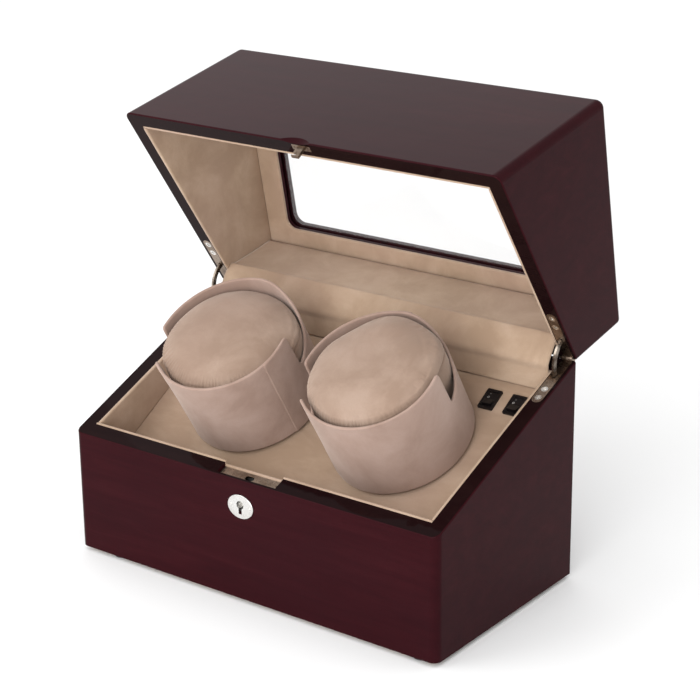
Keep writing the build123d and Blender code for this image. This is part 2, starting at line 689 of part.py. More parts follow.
def opened(y, z):
    turn = radians(-LID_OPENING)
    dy = y - HINGE_POINT.Y
    dz = z - HINGE_POINT.Z
    return (
        HINGE_POINT.Y + dy * cos(turn) - dz * sin(turn),
        HINGE_POINT.Z + dy * sin(turn) + dz * cos(turn),
    )


flap_base_y = DECK_REAR_Y - FLAP_THICKNESS / 2
flap_lid_y = flap_base_y - FLAP_CLEARANCE
flap_lid_start = opened(flap_lid_y, rim_z(flap_lid_y))
flap_lid_end = opened(flap_lid_y, rim_z(flap_lid_y) + FLAP_LID_LAP)
flap_run = (flap_lid_end[1] - flap_lid_start[1]) / (flap_lid_end[0] - flap_lid_start[0])
flap_corner = (flap_base_y, flap_lid_start[1] - flap_run * (flap_lid_start[0] - flap_base_y))

with BuildPart() as hinge_flap:
    with BuildSketch(Plane.YZ):
        with BuildLine():
            FilletPolyline(
                (flap_base_y, rim_z(flap_base_y) - FLAP_BASE_LAP),
                flap_corner,
                flap_lid_end,
                radius=FLAP_R,
            )
        trace(line_width=FLAP_THICKNESS)
    extrude(amount=FLAP_WIDTH / 2, both=True)
pieces["hinge_flap"] = hinge_flap.part

# ---- lock: plate and case in the front wall, turning core, sliding bolt, hook on the lid ----
CASE_SKIN = 1.2
CORE_FRONT = 0.3
CORE_LENGTH = 8.5
KEY_BOW_R = 3.1
KEY_BOW_RISE = 1.3
KEY_SLOT_WIDTH = 2.8
KEY_SLOT_DROP = 5.4
KEY_DEPTH = 5.0
FINGER = (8.5, 3.0, 1.8)
FINGER_REST_ANGLE = 208.0
ESCUTCHEON_EDGE_R = 0.5
ESCUTCHEON_PIN_X = 8.2
ESCUTCHEON_PIN_R = 1.1
ESCUTCHEON_PIN_HEAD = 0.5
PLATE_REAR_S = 10.2
PLATE_SLOT = (7.6, 3.8)
BOLT_BAR = (14.0, 2.2, 1.4)
BOLT_N = -6.8
BOLT_START_X = HOOK_X - HOOK_WIDTH / 2 - 0.5
BOLT_TAIL_X = LOCK_X - 5.5
BOLT_TAIL_Y = FRONT_Y + 7.7
BOLT_TAIL_DEPTH = 6.1
BOLT_TAIL = (1.8, 1.6, 8.9)
HOOK_SLOT = (3.4, 2.2)
HOOK_SLOT_N = -7.2
lock_plane = Plane.XZ.offset(-FRONT_Y)
plate_drop = (PLATE_DEPTH + PLATE_THICKNESS) / cos(radians(RIM_ANGLE))
case_back = FRONT_Y + CASE_FRONT + CASE_DEPTH
case_front = FRONT_Y + CASE_FRONT


def keyhole():
    with BuildSketch() as hole:
        with Locations((0, KEY_BOW_RISE)):
            Circle(KEY_BOW_R)
        with Locations((0, KEY_BOW_RISE)):
            Rectangle(
                KEY_SLOT_WIDTH, KEY_BOW_RISE + KEY_SLOT_DROP, align=(Align.CENTER, Align.MAX)
            )
    return hole.sketch


with BuildPart() as escutcheon:
    with BuildSketch(lock_plane):
        with Locations((LOCK_X, KEYHOLE_Z)):
            Ellipse(ESCUTCHEON[0] / 2, ESCUTCHEON[1] / 2)
    extrude(amount=ESCUTCHEON[2])
    fillet(escutcheon.faces().sort_by(Axis.Y)[0].edges(), ESCUTCHEON_EDGE_R)
    with BuildSketch(lock_plane):
        with Locations((LOCK_X, KEYHOLE_Z)):
            add(keyhole())
        with Locations(
            (LOCK_X - ESCUTCHEON_PIN_X, KEYHOLE_Z), (LOCK_X + ESCUTCHEON_PIN_X, KEYHOLE_Z)
        ):
            Circle(ESCUTCHEON_PIN_R / 2)
    extrude(amount=2 * ESCUTCHEON[2], mode=Mode.SUBTRACT)
pieces["escutcheon"] = escutcheon.part

with BuildPart() as escutcheon_pins:
    with BuildSketch(lock_plane):
        with Locations(
            (LOCK_X - ESCUTCHEON_PIN_X, KEYHOLE_Z), (LOCK_X + ESCUTCHEON_PIN_X, KEYHOLE_Z)
        ):
            Circle(ESCUTCHEON_PIN_R / 2)
    extrude(amount=ESCUTCHEON[2])
    with BuildSketch(lock_plane.offset(ESCUTCHEON[2])):
        with Locations(
            (LOCK_X - ESCUTCHEON_PIN_X, KEYHOLE_Z), (LOCK_X + ESCUTCHEON_PIN_X, KEYHOLE_Z)
        ):
            Circle(ESCUTCHEON_PIN_R)
    extrude(amount=ESCUTCHEON_PIN_HEAD)
pieces["escutcheon_pins"] = escutcheon_pins.part

with BuildPart() as lock_case:
    with BuildSketch(Plane.YZ.offset(LOCK_X)):
        Polygon(
            (case_front, FOOT_HEIGHT + CASE_BOTTOM),
            (case_back, FOOT_HEIGHT + CASE_BOTTOM),
            (case_back, rim_z(case_back) - plate_drop),
            (case_front, rim_z(case_front) - plate_drop),
            align=None,
        )
    extrude(amount=CASE_WIDTH / 2, both=True)
    with BuildSketch(Plane.XY.offset(FOOT_HEIGHT + CASE_BOTTOM + CASE_SKIN)):
        with Locations((LOCK_X, (case_front + case_back) / 2)):
            Rectangle(CASE_WIDTH - 2 * CASE_SKIN, CASE_DEPTH - 2 * CASE_SKIN)
    extrude(amount=CASE_WIDTH, mode=Mode.SUBTRACT)
    with BuildSketch(Plane.XZ.offset(-case_front)):
        with Locations((LOCK_X, KEYHOLE_Z)):
            Circle(CORE_HOLE_R)
    extrude(amount=-CASE_SKIN, mode=Mode.SUBTRACT)
pieces["lock_case"] = lock_case.part

with BuildPart() as lock_plate:
    with BuildSketch(RIM.offset(-PLATE_DEPTH - PLATE_THICKNESS)):
        with Locations((NOTCH_X, NOTCH_LIP)):
            Rectangle(NOTCH_WIDTH, PLATE_REAR_S - NOTCH_LIP, align=(Align.CENTER, Align.MIN))
        with Locations((HOOK_X, HOOK_S)):
            SlotOverall(*PLATE_SLOT, mode=Mode.SUBTRACT)
    extrude(amount=PLATE_THICKNESS)
    with Locations(*[on(RIM, x, HOOK_S, -PLATE_DEPTH) for x in PLATE_SCREW_XS]):
        add(screw(*PLATE_SCREW, slotted=False), mode=Mode.SUBTRACT)
pieces["lock_plate"] = lock_plate.part

with BuildPart() as lock_plate_screws:
    with Locations(*[on(RIM, x, HOOK_S, -PLATE_DEPTH) for x in PLATE_SCREW_XS]):
        add(screw(*PLATE_SCREW))
pieces["lock_plate_screws"] = lock_plate_screws.part

with BuildPart() as key_core:
    with BuildSketch(Plane.XZ.offset(-FRONT_Y - CORE_FRONT)):
        with Locations((LOCK_X, KEYHOLE_Z)):
            Circle(CORE_R)
    extrude(amount=-CORE_LENGTH)
    with BuildSketch(Plane.XZ.offset(-FRONT_Y - CORE_FRONT)):
        with Locations((LOCK_X, KEYHOLE_Z)):
            add(keyhole())
    extrude(amount=-KEY_DEPTH, mode=Mode.SUBTRACT)
    with BuildSketch(Plane.XZ.offset(-FRONT_Y - CORE_FRONT - CORE_LENGTH)):
        with Locations(Location((LOCK_X, KEYHOLE_Z, 0), (0, 0, FINGER_REST_ANGLE))):
            Rectangle(FINGER[0], FINGER[1], align=(Align.MIN, Align.CENTER))
    extrude(amount=FINGER[2])
pieces["key_core"] = key_core.part

with BuildPart() as lock_bolt:
    with BuildSketch(RIM.offset(BOLT_N)):
        with Locations((BOLT_START_X, HOOK_S)):
            Rectangle(*BOLT_BAR[:2], align=(Align.MAX, Align.CENTER))
    extrude(amount=BOLT_BAR[2])
    with Locations((BOLT_TAIL_X, BOLT_TAIL_Y, rim_z(BOLT_TAIL_Y) - BOLT_TAIL_DEPTH)):
        Box(*BOLT_TAIL, align=(Align.MIN, Align.CENTER, Align.MAX))
pieces["lock_bolt"] = lock_bolt.part

with BuildPart() as lid_hook:
    with BuildSketch(LID_RIM):
        with Locations((HOOK_X, HOOK_S)):
            Rectangle(*HOOK_PLATE[:2])
    extrude(amount=HOOK_PLATE[2])
    with BuildSketch(LID_RIM):
        with Locations((HOOK_X, HOOK_S)):
            Rectangle(HOOK_WIDTH, HOOK_THICKNESS)
    extrude(amount=-HOOK_REACH - RIM_GAP)
    with BuildSketch(RIM.offset(HOOK_SLOT_N)):
        with Locations((HOOK_X - HOOK_WIDTH / 2, HOOK_S)):
            Rectangle(HOOK_SLOT[0], 2 * HOOK_THICKNESS, align=(Align.MIN, Align.CENTER))
    extrude(amount=HOOK_SLOT[1], mode=Mode.SUBTRACT)
    with Locations(*[on(LID_RIM, x, HOOK_S) * FLIP for x in HOOK_SCREW_XS]):
        add(screw(*HOOK_SCREW, slotted=False), mode=Mode.SUBTRACT)
lid_pieces["lid_hook"] = lid_hook.part

with BuildPart() as lid_hook_screws:
    with Locations(*[on(LID_RIM, x, HOOK_S) * FLIP for x in HOOK_SCREW_XS]):
        add(screw(*HOOK_SCREW))
lid_pieces["lid_hook_screws"] = lid_hook_screws.part

# ---- cups: covered cup, cushion, spindle, and the geared motor under the deck ----
CUP_TOP = CUP_LIFT + CUP_HEIGHT
CUP_INNER_R = CUP_R - CUP_WALL
CUP_RIM_R = 1.0
HUB_THICKNESS = 2.2
HUB_BOTTOM = CUP_LIFT - HUB_THICKNESS
HUB_BOSS_TOP = CUP_LIFT + CUP_FLOOR + 1.0
HUB_FIT = 0.05
BOSS_TOP = -1.0
BORE_DEPTH = 18.0
CUSHION_EDGE_R = 5.0

for side, plane in CUP_PLANES.items():
    with BuildPart() as cup:
        with BuildSketch(plane.offset(CUP_LIFT)):
            Circle(CUP_R)
        extrude(amount=CUP_HEIGHT)
        with BuildSketch(plane.offset(CUP_LIFT + CUP_FLOOR)):
            Circle(CUP_INNER_R)
        extrude(amount=CUP_HEIGHT, mode=Mode.SUBTRACT)
        fillet(cup.faces().filter_by(plane).sort_by(Axis.Z)[-1].edges(), CUP_RIM_R)
        with BuildSketch(plane):
            Circle(HUB_BOSS_R + HUB_FIT)
        extrude(amount=CUP_HEIGHT, mode=Mode.SUBTRACT)
        # strap openings through the wall, each with one steep edge and one long slope
        for start, span, slope in STRAP_OPENINGS:
            middle = on(plane, 0, 0, CUP_TOP) * Location((0, 0, 0), (0, 0, start + span / 2))
            half_width = slope * CUP_R * sin(radians(span / 2))
            with BuildSketch(Plane(middle * Plane.YZ.location)):
                Polygon(
                    (-half_width, -STRAP_DIP),
                    (half_width, 0),
                    (half_width, CUP_WALL),
                    (-half_width, CUP_WALL),
                    align=None,
                )
            extrude(amount=2 * CUP_R, mode=Mode.SUBTRACT)
    pieces[f"cup_{side}"] = cup.part

    with BuildPart() as cushion:
        with BuildSketch(Plane(plane.location * Plane.XZ.location)):
            with BuildLine():
                Polyline(
                    (0, CUSHION_TOP),
                    (0, CUSHION_BOTTOM),
                    (CUSHION_R - CUSHION_EDGE_R, CUSHION_BOTTOM),
                    (CUSHION_R, CUSHION_BOTTOM + CUSHION_EDGE_R),
                    (CUSHION_R, CUSHION_SHOULDER),
                )
                Spline(
                    (CUSHION_R, CUSHION_SHOULDER),
                    *CUSHION_DOME,
                    (0, CUSHION_TOP),
                    tangents=((0, 1), (-1, 0)),
                )
            make_face()
        revolve(axis=Axis(plane.origin, plane.z_dir))
    pieces[f"cushion_{side}"] = cushion.part

    with BuildPart() as spindle:
        with BuildSketch(plane.offset(HUB_BOTTOM)):
            Circle(SPINDLE_R)
        extrude(amount=-SPINDLE_DEPTH - HUB_BOTTOM)
        with BuildSketch(plane.offset(HUB_BOTTOM)):
            Circle(HUB_R)
        extrude(amount=HUB_THICKNESS)
        with BuildSketch(plane.offset(CUP_LIFT)):
            Circle(HUB_BOSS_R)
        extrude(amount=HUB_BOSS_TOP - CUP_LIFT)
    pieces[f"spindle_{side}"] = spindle.part

    with BuildPart() as motor:
        with BuildSketch(plane.offset(bracket_bottom)):
            Circle(GEARBOX_R)
        extrude(amount=-GEARBOX_LENGTH)
        with BuildSketch(plane.offset(bracket_bottom - GEARBOX_LENGTH)):
            Circle(MOTOR_R)
        extrude(amount=-MOTOR_LENGTH)
        with BuildSketch(plane.offset(bracket_bottom)):
            Circle(MOTOR_BOSS_R)
        extrude(amount=BOSS_TOP - bracket_bottom)
        with BuildSketch(plane.offset(BOSS_TOP)):
            Circle(SPINDLE_R + SPINDLE_FIT)
        extrude(amount=-BORE_DEPTH, mode=Mode.SUBTRACT)
    pieces[f"motor_{side}"] = motor.part

    with BuildPart() as motor_bracket:
        with BuildSketch(plane.offset(-DECK_THICKNESS)):
            RectangleRounded(*BRACKET[:2], BRACKET[2])
            Circle(MOTOR_BOSS_R, mode=Mode.SUBTRACT)
        extrude(amount=-BRACKET[2])
        with Locations(*bracket_screw_spots[side]):
            add(screw(*BRACKET_SCREW, slotted=False), mode=Mode.SUBTRACT)
    pieces[f"motor_bracket_{side}"] = motor_bracket.part

with BuildPart() as motor_screws:
    for spots in bracket_screw_spots.values():
        with Locations(*spots):
            add(screw(*BRACKET_SCREW))
pieces["motor_screws"] = motor_screws.part

# ---- rocker switches in the deck ----
ROCKER_END = 5.8
ROCKER_PROFILE = (
    (-ROCKER_END, 2.0),
    (0, 0.9),
    (ROCKER_END, 2.0),
    (ROCKER_END, -1.0),
    (0, -3.5),
    (-ROCKER_END, -1.0),
)
TRUNNION_R = 0.8
TRUNNION_FIT = 0.05
TRUNNION_REACH = 4.3

for side, plane in SWITCH_PLANES.items():
    across = Plane(on(plane, 0, 0, ROCKER_PIVOT) * Plane.YZ.location)
    with BuildPart() as switch_bezel:
        with BuildSketch(plane):
            RectangleRounded(SWITCH_WIDTH, SWITCH_LENGTH, SWITCH_FLANGE / 2)
        extrude(amount=SWITCH_FLANGE)
        with BuildSketch(plane):
            Rectangle(SWITCH_BODY[1], SWITCH_BODY[0])
        extrude(amount=-SWITCH_BODY[2])
        with BuildSketch(plane.offset(SWITCH_FLANGE)):
            Rectangle(SWITCH_WINDOW[1], SWITCH_WINDOW[0])
        extrude(amount=-SWITCH_FLANGE - SWITCH_WINDOW[2], mode=Mode.SUBTRACT)
        with BuildSketch(across):
            Circle(TRUNNION_R + TRUNNION_FIT)
        extrude(amount=TRUNNION_REACH + TRUNNION_FIT, both=True, mode=Mode.SUBTRACT)
    pieces[f"switch_bezel_{side}"] = switch_bezel.part

    tilted = Plane(across.location * Location((0, 0, 0), (0, 0, -ROCKER_TILT)))
    with BuildPart() as rocker:
        with BuildSketch(tilted):
            Polygon(*ROCKER_PROFILE, align=None)
        extrude(amount=ROCKER_WIDTH / 2, both=True)
        with BuildSketch(tilted):
            Circle(TRUNNION_R)
        extrude(amount=TRUNNION_REACH, both=True)
    pieces[f"switch_rocker_{side}"] = rocker.part

# ---- control board, power inlet and the leads between them ----
BOARD = (64.0, 46.0, 1.6)
BOARD_Y = FRONT_Y + 68.0
STANDOFF_HEIGHT = 6.0
STANDOFF_R = 2.5
STANDOFF_X = 28.0
STANDOFF_Y = 18.0
FLOOR_TOP_Z = FOOT_HEIGHT + FLOOR_THICKNESS
BOARD_BOTTOM_Z = FLOOR_TOP_Z + STANDOFF_HEIGHT
BOARD_TOP_Z = BOARD_BOTTOM_Z + BOARD[2]
TERMINAL = (6.0, 6.0, 4.4)
TERMINAL_TOP_Z = BOARD_TOP_Z + TERMINAL[2]
CHIP = (14.0, 9.0, 2.4)
CHIP_XY = (4.0, -12.0)
MOTOR_TERMINALS = {"left": (-12.0, BOARD_Y + 12.0), "right": (12.0, BOARD_Y + 12.0)}
SWITCH_TERMINALS = {"left": (24.0, BOARD_Y - 2.0), "right": (24.0, BOARD_Y - 10.0)}
POWER_TERMINAL = (-24.0, BOARD_Y + 2.0)
INLET_FLANGE = (7.0, 2.0)
INLET_LENGTH = 18.0
INLET_BORE = (2.8, 10.0)
INLET_PIN = (1.0, 8.0)
INLET_NUT = (8.0, 3.0)
LEAD_R = 1.2
LEAD_TAIL = 14.0
SWITCH_LEAD_OFFSETS = {"left": (80.0, 2.0, 40.0), "right": (88.0, -6.0, 44.0)}
POWER_LEAD_POINTS = ((-110.0, 10.0, 34.0), (-70.0, -34.0, 30.0))

with BuildPart() as control_board:
    with BuildSketch(Plane.XY.offset(BOARD_BOTTOM_Z)):
        with Locations((0, BOARD_Y)):
            Rectangle(*BOARD[:2])
    extrude(amount=BOARD[2])
    with BuildSketch(Plane.XY.offset(BOARD_TOP_Z)):
        with Locations(*MOTOR_TERMINALS.values(), *SWITCH_TERMINALS.values(), POWER_TERMINAL):
            Rectangle(*TERMINAL[:2])
    extrude(amount=TERMINAL[2])
    with BuildSketch(Plane.XY.offset(BOARD_TOP_Z)):
        with Locations((CHIP_XY[0], BOARD_Y + CHIP_XY[1])):
            Rectangle(*CHIP[:2])
    extrude(amount=CHIP[2])
pieces["control_board"] = control_board.part

with BuildPart() as board_standoffs:
    with BuildSketch(Plane.XY.offset(FLOOR_TOP_Z)):
        with Locations((0, BOARD_Y)):
            with GridLocations(2 * STANDOFF_X, 2 * STANDOFF_Y, 2, 2):
                RegularPolygon(STANDOFF_R, 6)
    extrude(amount=STANDOFF_HEIGHT)
pieces["board_standoffs"] = board_standoffs.part

with BuildPart() as dc_inlet:
    with BuildSketch(Plane.XZ.offset(-REAR_Y)):
        with Locations((INLET_X, INLET_Z)):
            Circle(INLET_FLANGE[0])
    extrude(amount=-INLET_FLANGE[1])
    with BuildSketch(Plane.XZ.offset(-REAR_Y)):
        with Locations((INLET_X, INLET_Z)):
            Circle(INLET_BODY_R)
    extrude(amount=INLET_LENGTH)
    with BuildSketch(Plane.XZ.offset(-REAR_Y - INLET_FLANGE[1])):
        with Locations((INLET_X, INLET_Z)):
            Circle(INLET_BORE[0])
            Circle(INLET_PIN[0], mode=Mode.SUBTRACT)
    extrude(amount=INLET_BORE[1], mode=Mode.SUBTRACT)
    with BuildSketch(Plane.XZ.offset(-REAR_Y - INLET_FLANGE[1])):
        with Locations((INLET_X, INLET_Z)):
            Circle(INLET_BORE[0])
    extrude(amount=INLET_BORE[1] - INLET_PIN[1], mode=Mode.SUBTRACT)
pieces["dc_inlet"] = dc_inlet.part

with BuildPart() as dc_inlet_nut:
    with BuildSketch(Plane.XZ.offset(-INNER_REAR_Y)):
        with Locations((INLET_X, INLET_Z)):
            RegularPolygon(INLET_NUT[0], 6)
            Circle(INLET_BODY_R, mode=Mode.SUBTRACT)
    extrude(amount=INLET_NUT[1])
pieces["dc_inlet_nut"] = dc_inlet_nut.part


def lead(points):
    points = [Vector(*point) for point in points]
    radii = []
    for before, corner, after in zip(points, points[1:], points[2:]):
        turn = radians((corner - before).get_angle(after - corner))
        shorter = min((corner - before).length, (after - corner).length)
        radii.append(0.45 * shorter / tan(turn / 2))
    with BuildPart() as tube:
        with BuildLine() as route:
            FilletPolyline(*points, radius=radii)
        with BuildSketch(Plane(points[0], z_dir=points[1] - points[0])):
            Circle(LEAD_R)
        sweep(path=route.line)
    return tube.part


with BuildPart() as motor_leads:
    for side, plane in CUP_PLANES.items():
        end_x, end_y = MOTOR_TERMINALS[side]
        motor_bottom = bracket_bottom - GEARBOX_LENGTH - MOTOR_LENGTH
        add(
            lead(
                (
                    plane.from_local_coords((0, 0, motor_bottom)),
                    plane.from_local_coords((0, 0, motor_bottom - LEAD_TAIL)),
                    (end_x, end_y, TERMINAL_TOP_Z + LEAD_TAIL),
                    (end_x, end_y, TERMINAL_TOP_Z),
                )
            )
        )
pieces["motor_leads"] = motor_leads.part

with BuildPart() as switch_leads:
    for side, plane in SWITCH_PLANES.items():
        end_x, end_y = SWITCH_TERMINALS[side]
        via_x, via_dy, via_z = SWITCH_LEAD_OFFSETS[side]
        add(
            lead(
                (
                    plane.from_local_coords((0, 0, -SWITCH_BODY[2])),
                    plane.from_local_coords((0, 0, -SWITCH_BODY[2] - LEAD_TAIL)),
                    (via_x, BOARD_Y + via_dy, via_z),
                    (end_x, end_y, TERMINAL_TOP_Z + LEAD_TAIL),
                    (end_x, end_y, TERMINAL_TOP_Z),
                )
            )
        )
pieces["switch_leads"] = switch_leads.part

with BuildPart() as power_lead:
    add(
        lead(
            (
                (INLET_X, REAR_Y - INLET_LENGTH, INLET_Z),
                *POWER_LEAD_POINTS,
                (*POWER_TERMINAL, TERMINAL_TOP_Z + LEAD_TAIL),
                (*POWER_TERMINAL, TERMINAL_TOP_Z),
            )
        )
    )
pieces["power_lead"] = power_lead.part

# ---- turn the lid's pieces open about the hinge, label and write every piece ----
for name, piece in lid_pieces.items():
    pieces[name] = piece.rotate(HINGE_AXIS, -LID_OPENING)

os.makedirs("parts", exist_ok=True)
for name, piece in pieces.items():
    piece.label = name
    export_step(piece, f"parts/{name}.step")
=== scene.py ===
import json
import math

import bmesh
import bpy
import numpy as np
from mathutils import Matrix, Vector, geometry, noise


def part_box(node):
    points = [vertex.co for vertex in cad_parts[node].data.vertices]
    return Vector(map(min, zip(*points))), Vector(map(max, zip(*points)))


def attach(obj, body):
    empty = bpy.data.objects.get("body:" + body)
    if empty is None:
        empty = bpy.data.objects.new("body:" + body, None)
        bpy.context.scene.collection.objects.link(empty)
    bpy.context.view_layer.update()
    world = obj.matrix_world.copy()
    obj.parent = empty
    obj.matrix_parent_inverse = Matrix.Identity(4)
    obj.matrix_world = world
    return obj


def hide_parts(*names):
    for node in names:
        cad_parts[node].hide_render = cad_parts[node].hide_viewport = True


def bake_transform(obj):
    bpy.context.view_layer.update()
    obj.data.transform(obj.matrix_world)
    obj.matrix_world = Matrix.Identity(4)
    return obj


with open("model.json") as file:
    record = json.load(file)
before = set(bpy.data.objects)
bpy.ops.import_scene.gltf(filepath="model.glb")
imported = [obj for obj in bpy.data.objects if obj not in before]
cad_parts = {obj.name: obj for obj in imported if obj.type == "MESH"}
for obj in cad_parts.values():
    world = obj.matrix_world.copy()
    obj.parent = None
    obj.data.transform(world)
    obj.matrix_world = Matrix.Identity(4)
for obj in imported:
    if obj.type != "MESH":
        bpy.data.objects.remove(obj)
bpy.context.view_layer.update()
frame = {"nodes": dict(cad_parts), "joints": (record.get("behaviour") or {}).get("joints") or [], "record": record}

scene = bpy.context.scene
scene.view_settings.view_transform = "Standard"
JOINTS = {joint["name"]: joint for joint in frame["joints"]}
MM = 0.001
HINGE = Vector(JOINTS["lid_hinge"]["pos_m"])
OPENING = math.radians(JOINTS["lid_hinge"]["range_deg"][1])
OPENED = Matrix.Translation(HINGE) @ Matrix.Rotation(-OPENING, 4, "X") @ Matrix.Translation(-HINGE)
DECK_NORMAL = tuple(JOINTS["cup_left_turn"]["axis"])
SIDES = ("left", "right")


def turned_open(vector):
    """A direction given for the closed lid, turned to the open lid."""
    return tuple(Matrix.Rotation(-OPENING, 3, "X") @ Vector(vector))


# ---------------------------------------------------------------- materials
class Nodes:
    """Short calls for building one material's node tree."""

    def __init__(self, name):
        self.material = bpy.data.materials.new(name)
        self.material.use_nodes = True
        self.tree = self.material.node_tree
        self.shader = self.tree.nodes["Principled BSDF"]
        self.coords = self.tree.nodes.new("ShaderNodeTexCoord").outputs["Object"]

    def node(self, kind, **inputs):
        made = self.tree.nodes.new(kind)
        for key, value in inputs.items():
            self.put(made.inputs[key], value)
        return made

    def put(self, socket, value):
        if isinstance(value, bpy.types.NodeSocket):
            self.tree.links.new(value, socket)
        else:
            socket.default_value = value

    def set(self, **values):
        for key, value in values.items():
            self.put(self.shader.inputs[key.replace("_", " ")], value)

    def mapped(self, scale):
        return self.node("ShaderNodeMapping", Vector=self.coords, Scale=scale).outputs["Vector"]

    def noise(self, scale, detail=3.0, roughness=0.5, vector=None, distortion=0.0):
        made = self.node("ShaderNodeTexNoise", Vector=vector or self.coords, Scale=scale)
        made.inputs["Detail"].default_value = detail
        made.inputs["Roughness"].default_value = roughness
        made.inputs["Distortion"].default_value = distortion
        return made.outputs["Fac"]

    def ramp(self, factor, *stops):
        made = self.node("ShaderNodeValToRGB", Fac=factor)
        band = made.color_ramp
        while len(band.elements) < len(stops):
            band.elements.new(0.5)
        for element, (place, colour) in zip(band.elements, stops):
            element.position = place
            element.color = (*colour, 1.0)
        return made.outputs["Color"]

    def levels(self, factor, low, high, to_low=0.0, to_high=1.0):
        made = self.node("ShaderNodeMapRange", Value=factor)
        for key, value in (("From Min", low), ("From Max", high), ("To Min", to_low), ("To Max", to_high)):
            made.inputs[key].default_value = value
        return made.outputs["Result"]

    def mix(self, factor, first, second):
        made = self.tree.nodes.new("ShaderNodeMix")
        made.data_type = "RGBA"
        for index, value in ((0, factor), (6, first), (7, second)):
            if isinstance(value, tuple) and len(value) == 3:
                value = (*value, 1.0)
            self.put(made.inputs[index], value)
        return made.outputs[2]

    def bump(self, height, strength, distance, normal=None):
        made = self.node("ShaderNodeBump", Height=height, Strength=strength, Distance=distance)
        if normal is not None:
            self.tree.links.new(normal, made.inputs["Normal"])
        return made.outputs["Normal"]


def lacquer(name, tint, coat_ior):
    """Dark red-brown grain under a clear polished coat."""
    m = Nodes(name)

    def shade(*colour):
        return tuple(c * t for c, t in zip(colour, tint))

    grain = m.noise(2.2, 6.0, 0.62, m.mapped((4.0, 34.0, 60.0)), 0.6)
    pores = m.noise(30.0, 2.0, 0.5, m.mapped((2.0, 60.0, 90.0)))
    figure = m.noise(7.0, 3.0, 0.6, m.mapped((1.0, 1.6, 2.4)))
    base = m.ramp(
        grain,
        (0.30, shade(0.030, 0.0034, 0.0052)),
        (0.55, shade(0.038, 0.0044, 0.0064)),
        (0.75, shade(0.046, 0.0058, 0.0080)),
    )
    base = m.mix(m.levels(pores, 0.56, 0.72, 0.0, 0.40), base, shade(0.020, 0.0026, 0.0036))
    base = m.mix(m.levels(figure, 0.38, 0.68, 0.0, 0.40), base, shade(0.026, 0.0046, 0.0066))
    m.set(Base_Color=base, Roughness=m.levels(grain, 0.2, 0.8, 0.30, 0.42))
    peel = m.noise(70.0, 2.0, 0.5)
    m.set(Coat_Normal=m.bump(peel, 0.04, 0.0010))
    m.set(Specular_IOR_Level=0.0, Coat_Weight=1.0, Coat_Roughness=0.03, Coat_IOR=coat_ior)
    return m.material


def suede(name, tone, pink, nap=(1.0, 1.0, 1.0)):
    """Beige suede with brushed patches; tone darkens it, pink warms it, nap stretches the patches."""
    m = Nodes(name)
    patches = m.noise(28.0, 4.0, 0.62, m.mapped(nap), 0.35)
    broad = m.noise(9.0, 2.0, 0.5)
    fibre = m.noise(900.0, 2.0, 0.6)
    low = tuple(c * tone for c in (0.392, 0.272 - 0.004 * pink, 0.198 + 0.014 * pink))
    mid = tuple(c * tone for c in (0.455, 0.325 - 0.004 * pink, 0.242 + 0.018 * pink))
    high = tuple(c * tone for c in (0.510, 0.374 - 0.004 * pink, 0.286 + 0.020 * pink))
    base = m.ramp(patches, (0.38, low), (0.52, mid), (0.66, high))
    rosy = tuple(c * tone for c in (0.455, 0.310, 0.250))
    base = m.mix(m.levels(broad, 0.40, 0.66, 0.0, 0.45), base, rosy)
    base = m.mix(m.levels(fibre, 0.35, 0.65, 0.0, 0.16), base, low)
    m.set(Base_Color=base, Roughness=0.94)
    m.set(Specular_IOR_Level=0.08, Sheen_Weight=0.30, Sheen_Roughness=0.5)
    m.shader.inputs["Sheen Tint"].default_value = (0.95, 0.84, 0.76, 1.0)
    soft = m.bump(m.noise(120.0, 3.0, 0.6), 0.22, 0.0008)
    m.set(Normal=m.bump(fibre, 0.30, 0.00025, soft))
    return m.material


def metal(name, colour, dark, roughness):
    """Polished metal with faint tarnish and fine scratches."""
    m = Nodes(name)
    tarnish = m.noise(90.0, 4.0, 0.6)
    lines = m.noise(260.0, 2.0, 0.5, m.mapped((4.0, 4.0, 4.0)))
    m.set(
        Base_Color=m.mix(m.levels(tarnish, 0.42, 0.72), colour, dark),
        Roughness=m.levels(lines, 0.3, 0.7, roughness, roughness + 0.14),
        Normal=m.bump(lines, 0.08, 0.0002),
    )
    m.set(Metallic=1.0)
    return m.material


def plastic(name, colour, roughness):
    """Moulded plastic or rubber with a fine spark finish."""
    m = Nodes(name)
    spark = m.noise(420.0, 2.0, 0.5)
    haze = m.noise(40.0, 3.0, 0.6)
    lighter = tuple(min(1.0, c * 1.35 + 0.004) for c in colour)
    m.set(
        Base_Color=m.mix(m.levels(haze, 0.35, 0.7), colour, lighter),
        Roughness=m.levels(spark, 0.3, 0.7, roughness - 0.04, roughness + 0.08),
        Normal=m.bump(spark, 0.12, 0.0001),
    )
    return m.material


def board(name, dark, light):
    """Bare wood board with straight grain."""
    m = Nodes(name)
    grain = m.noise(3.0, 5.0, 0.6, m.mapped((6.0, 70.0, 70.0)), 0.4)
    m.set(
        Base_Color=m.ramp(grain, (0.3, dark), (0.7, light)),
        Roughness=m.levels(grain, 0.3, 0.7, 0.65, 0.8),
        Normal=m.bump(grain, 0.2, 0.0004),
    )
    return m.material


def glass():
    """Clear glass with the faintest haze."""
    m = Nodes("clear_glass")
    haze = m.noise(30.0, 2.0, 0.5)
    m.set(Base_Color=m.mix(m.levels(haze, 0.4, 0.6), (0.97, 0.985, 0.98), (0.985, 0.99, 0.988)))
    m.set(Roughness=0.0, Transmission_Weight=1.0, IOR=1.45, Alpha=0.12)
    return m.material


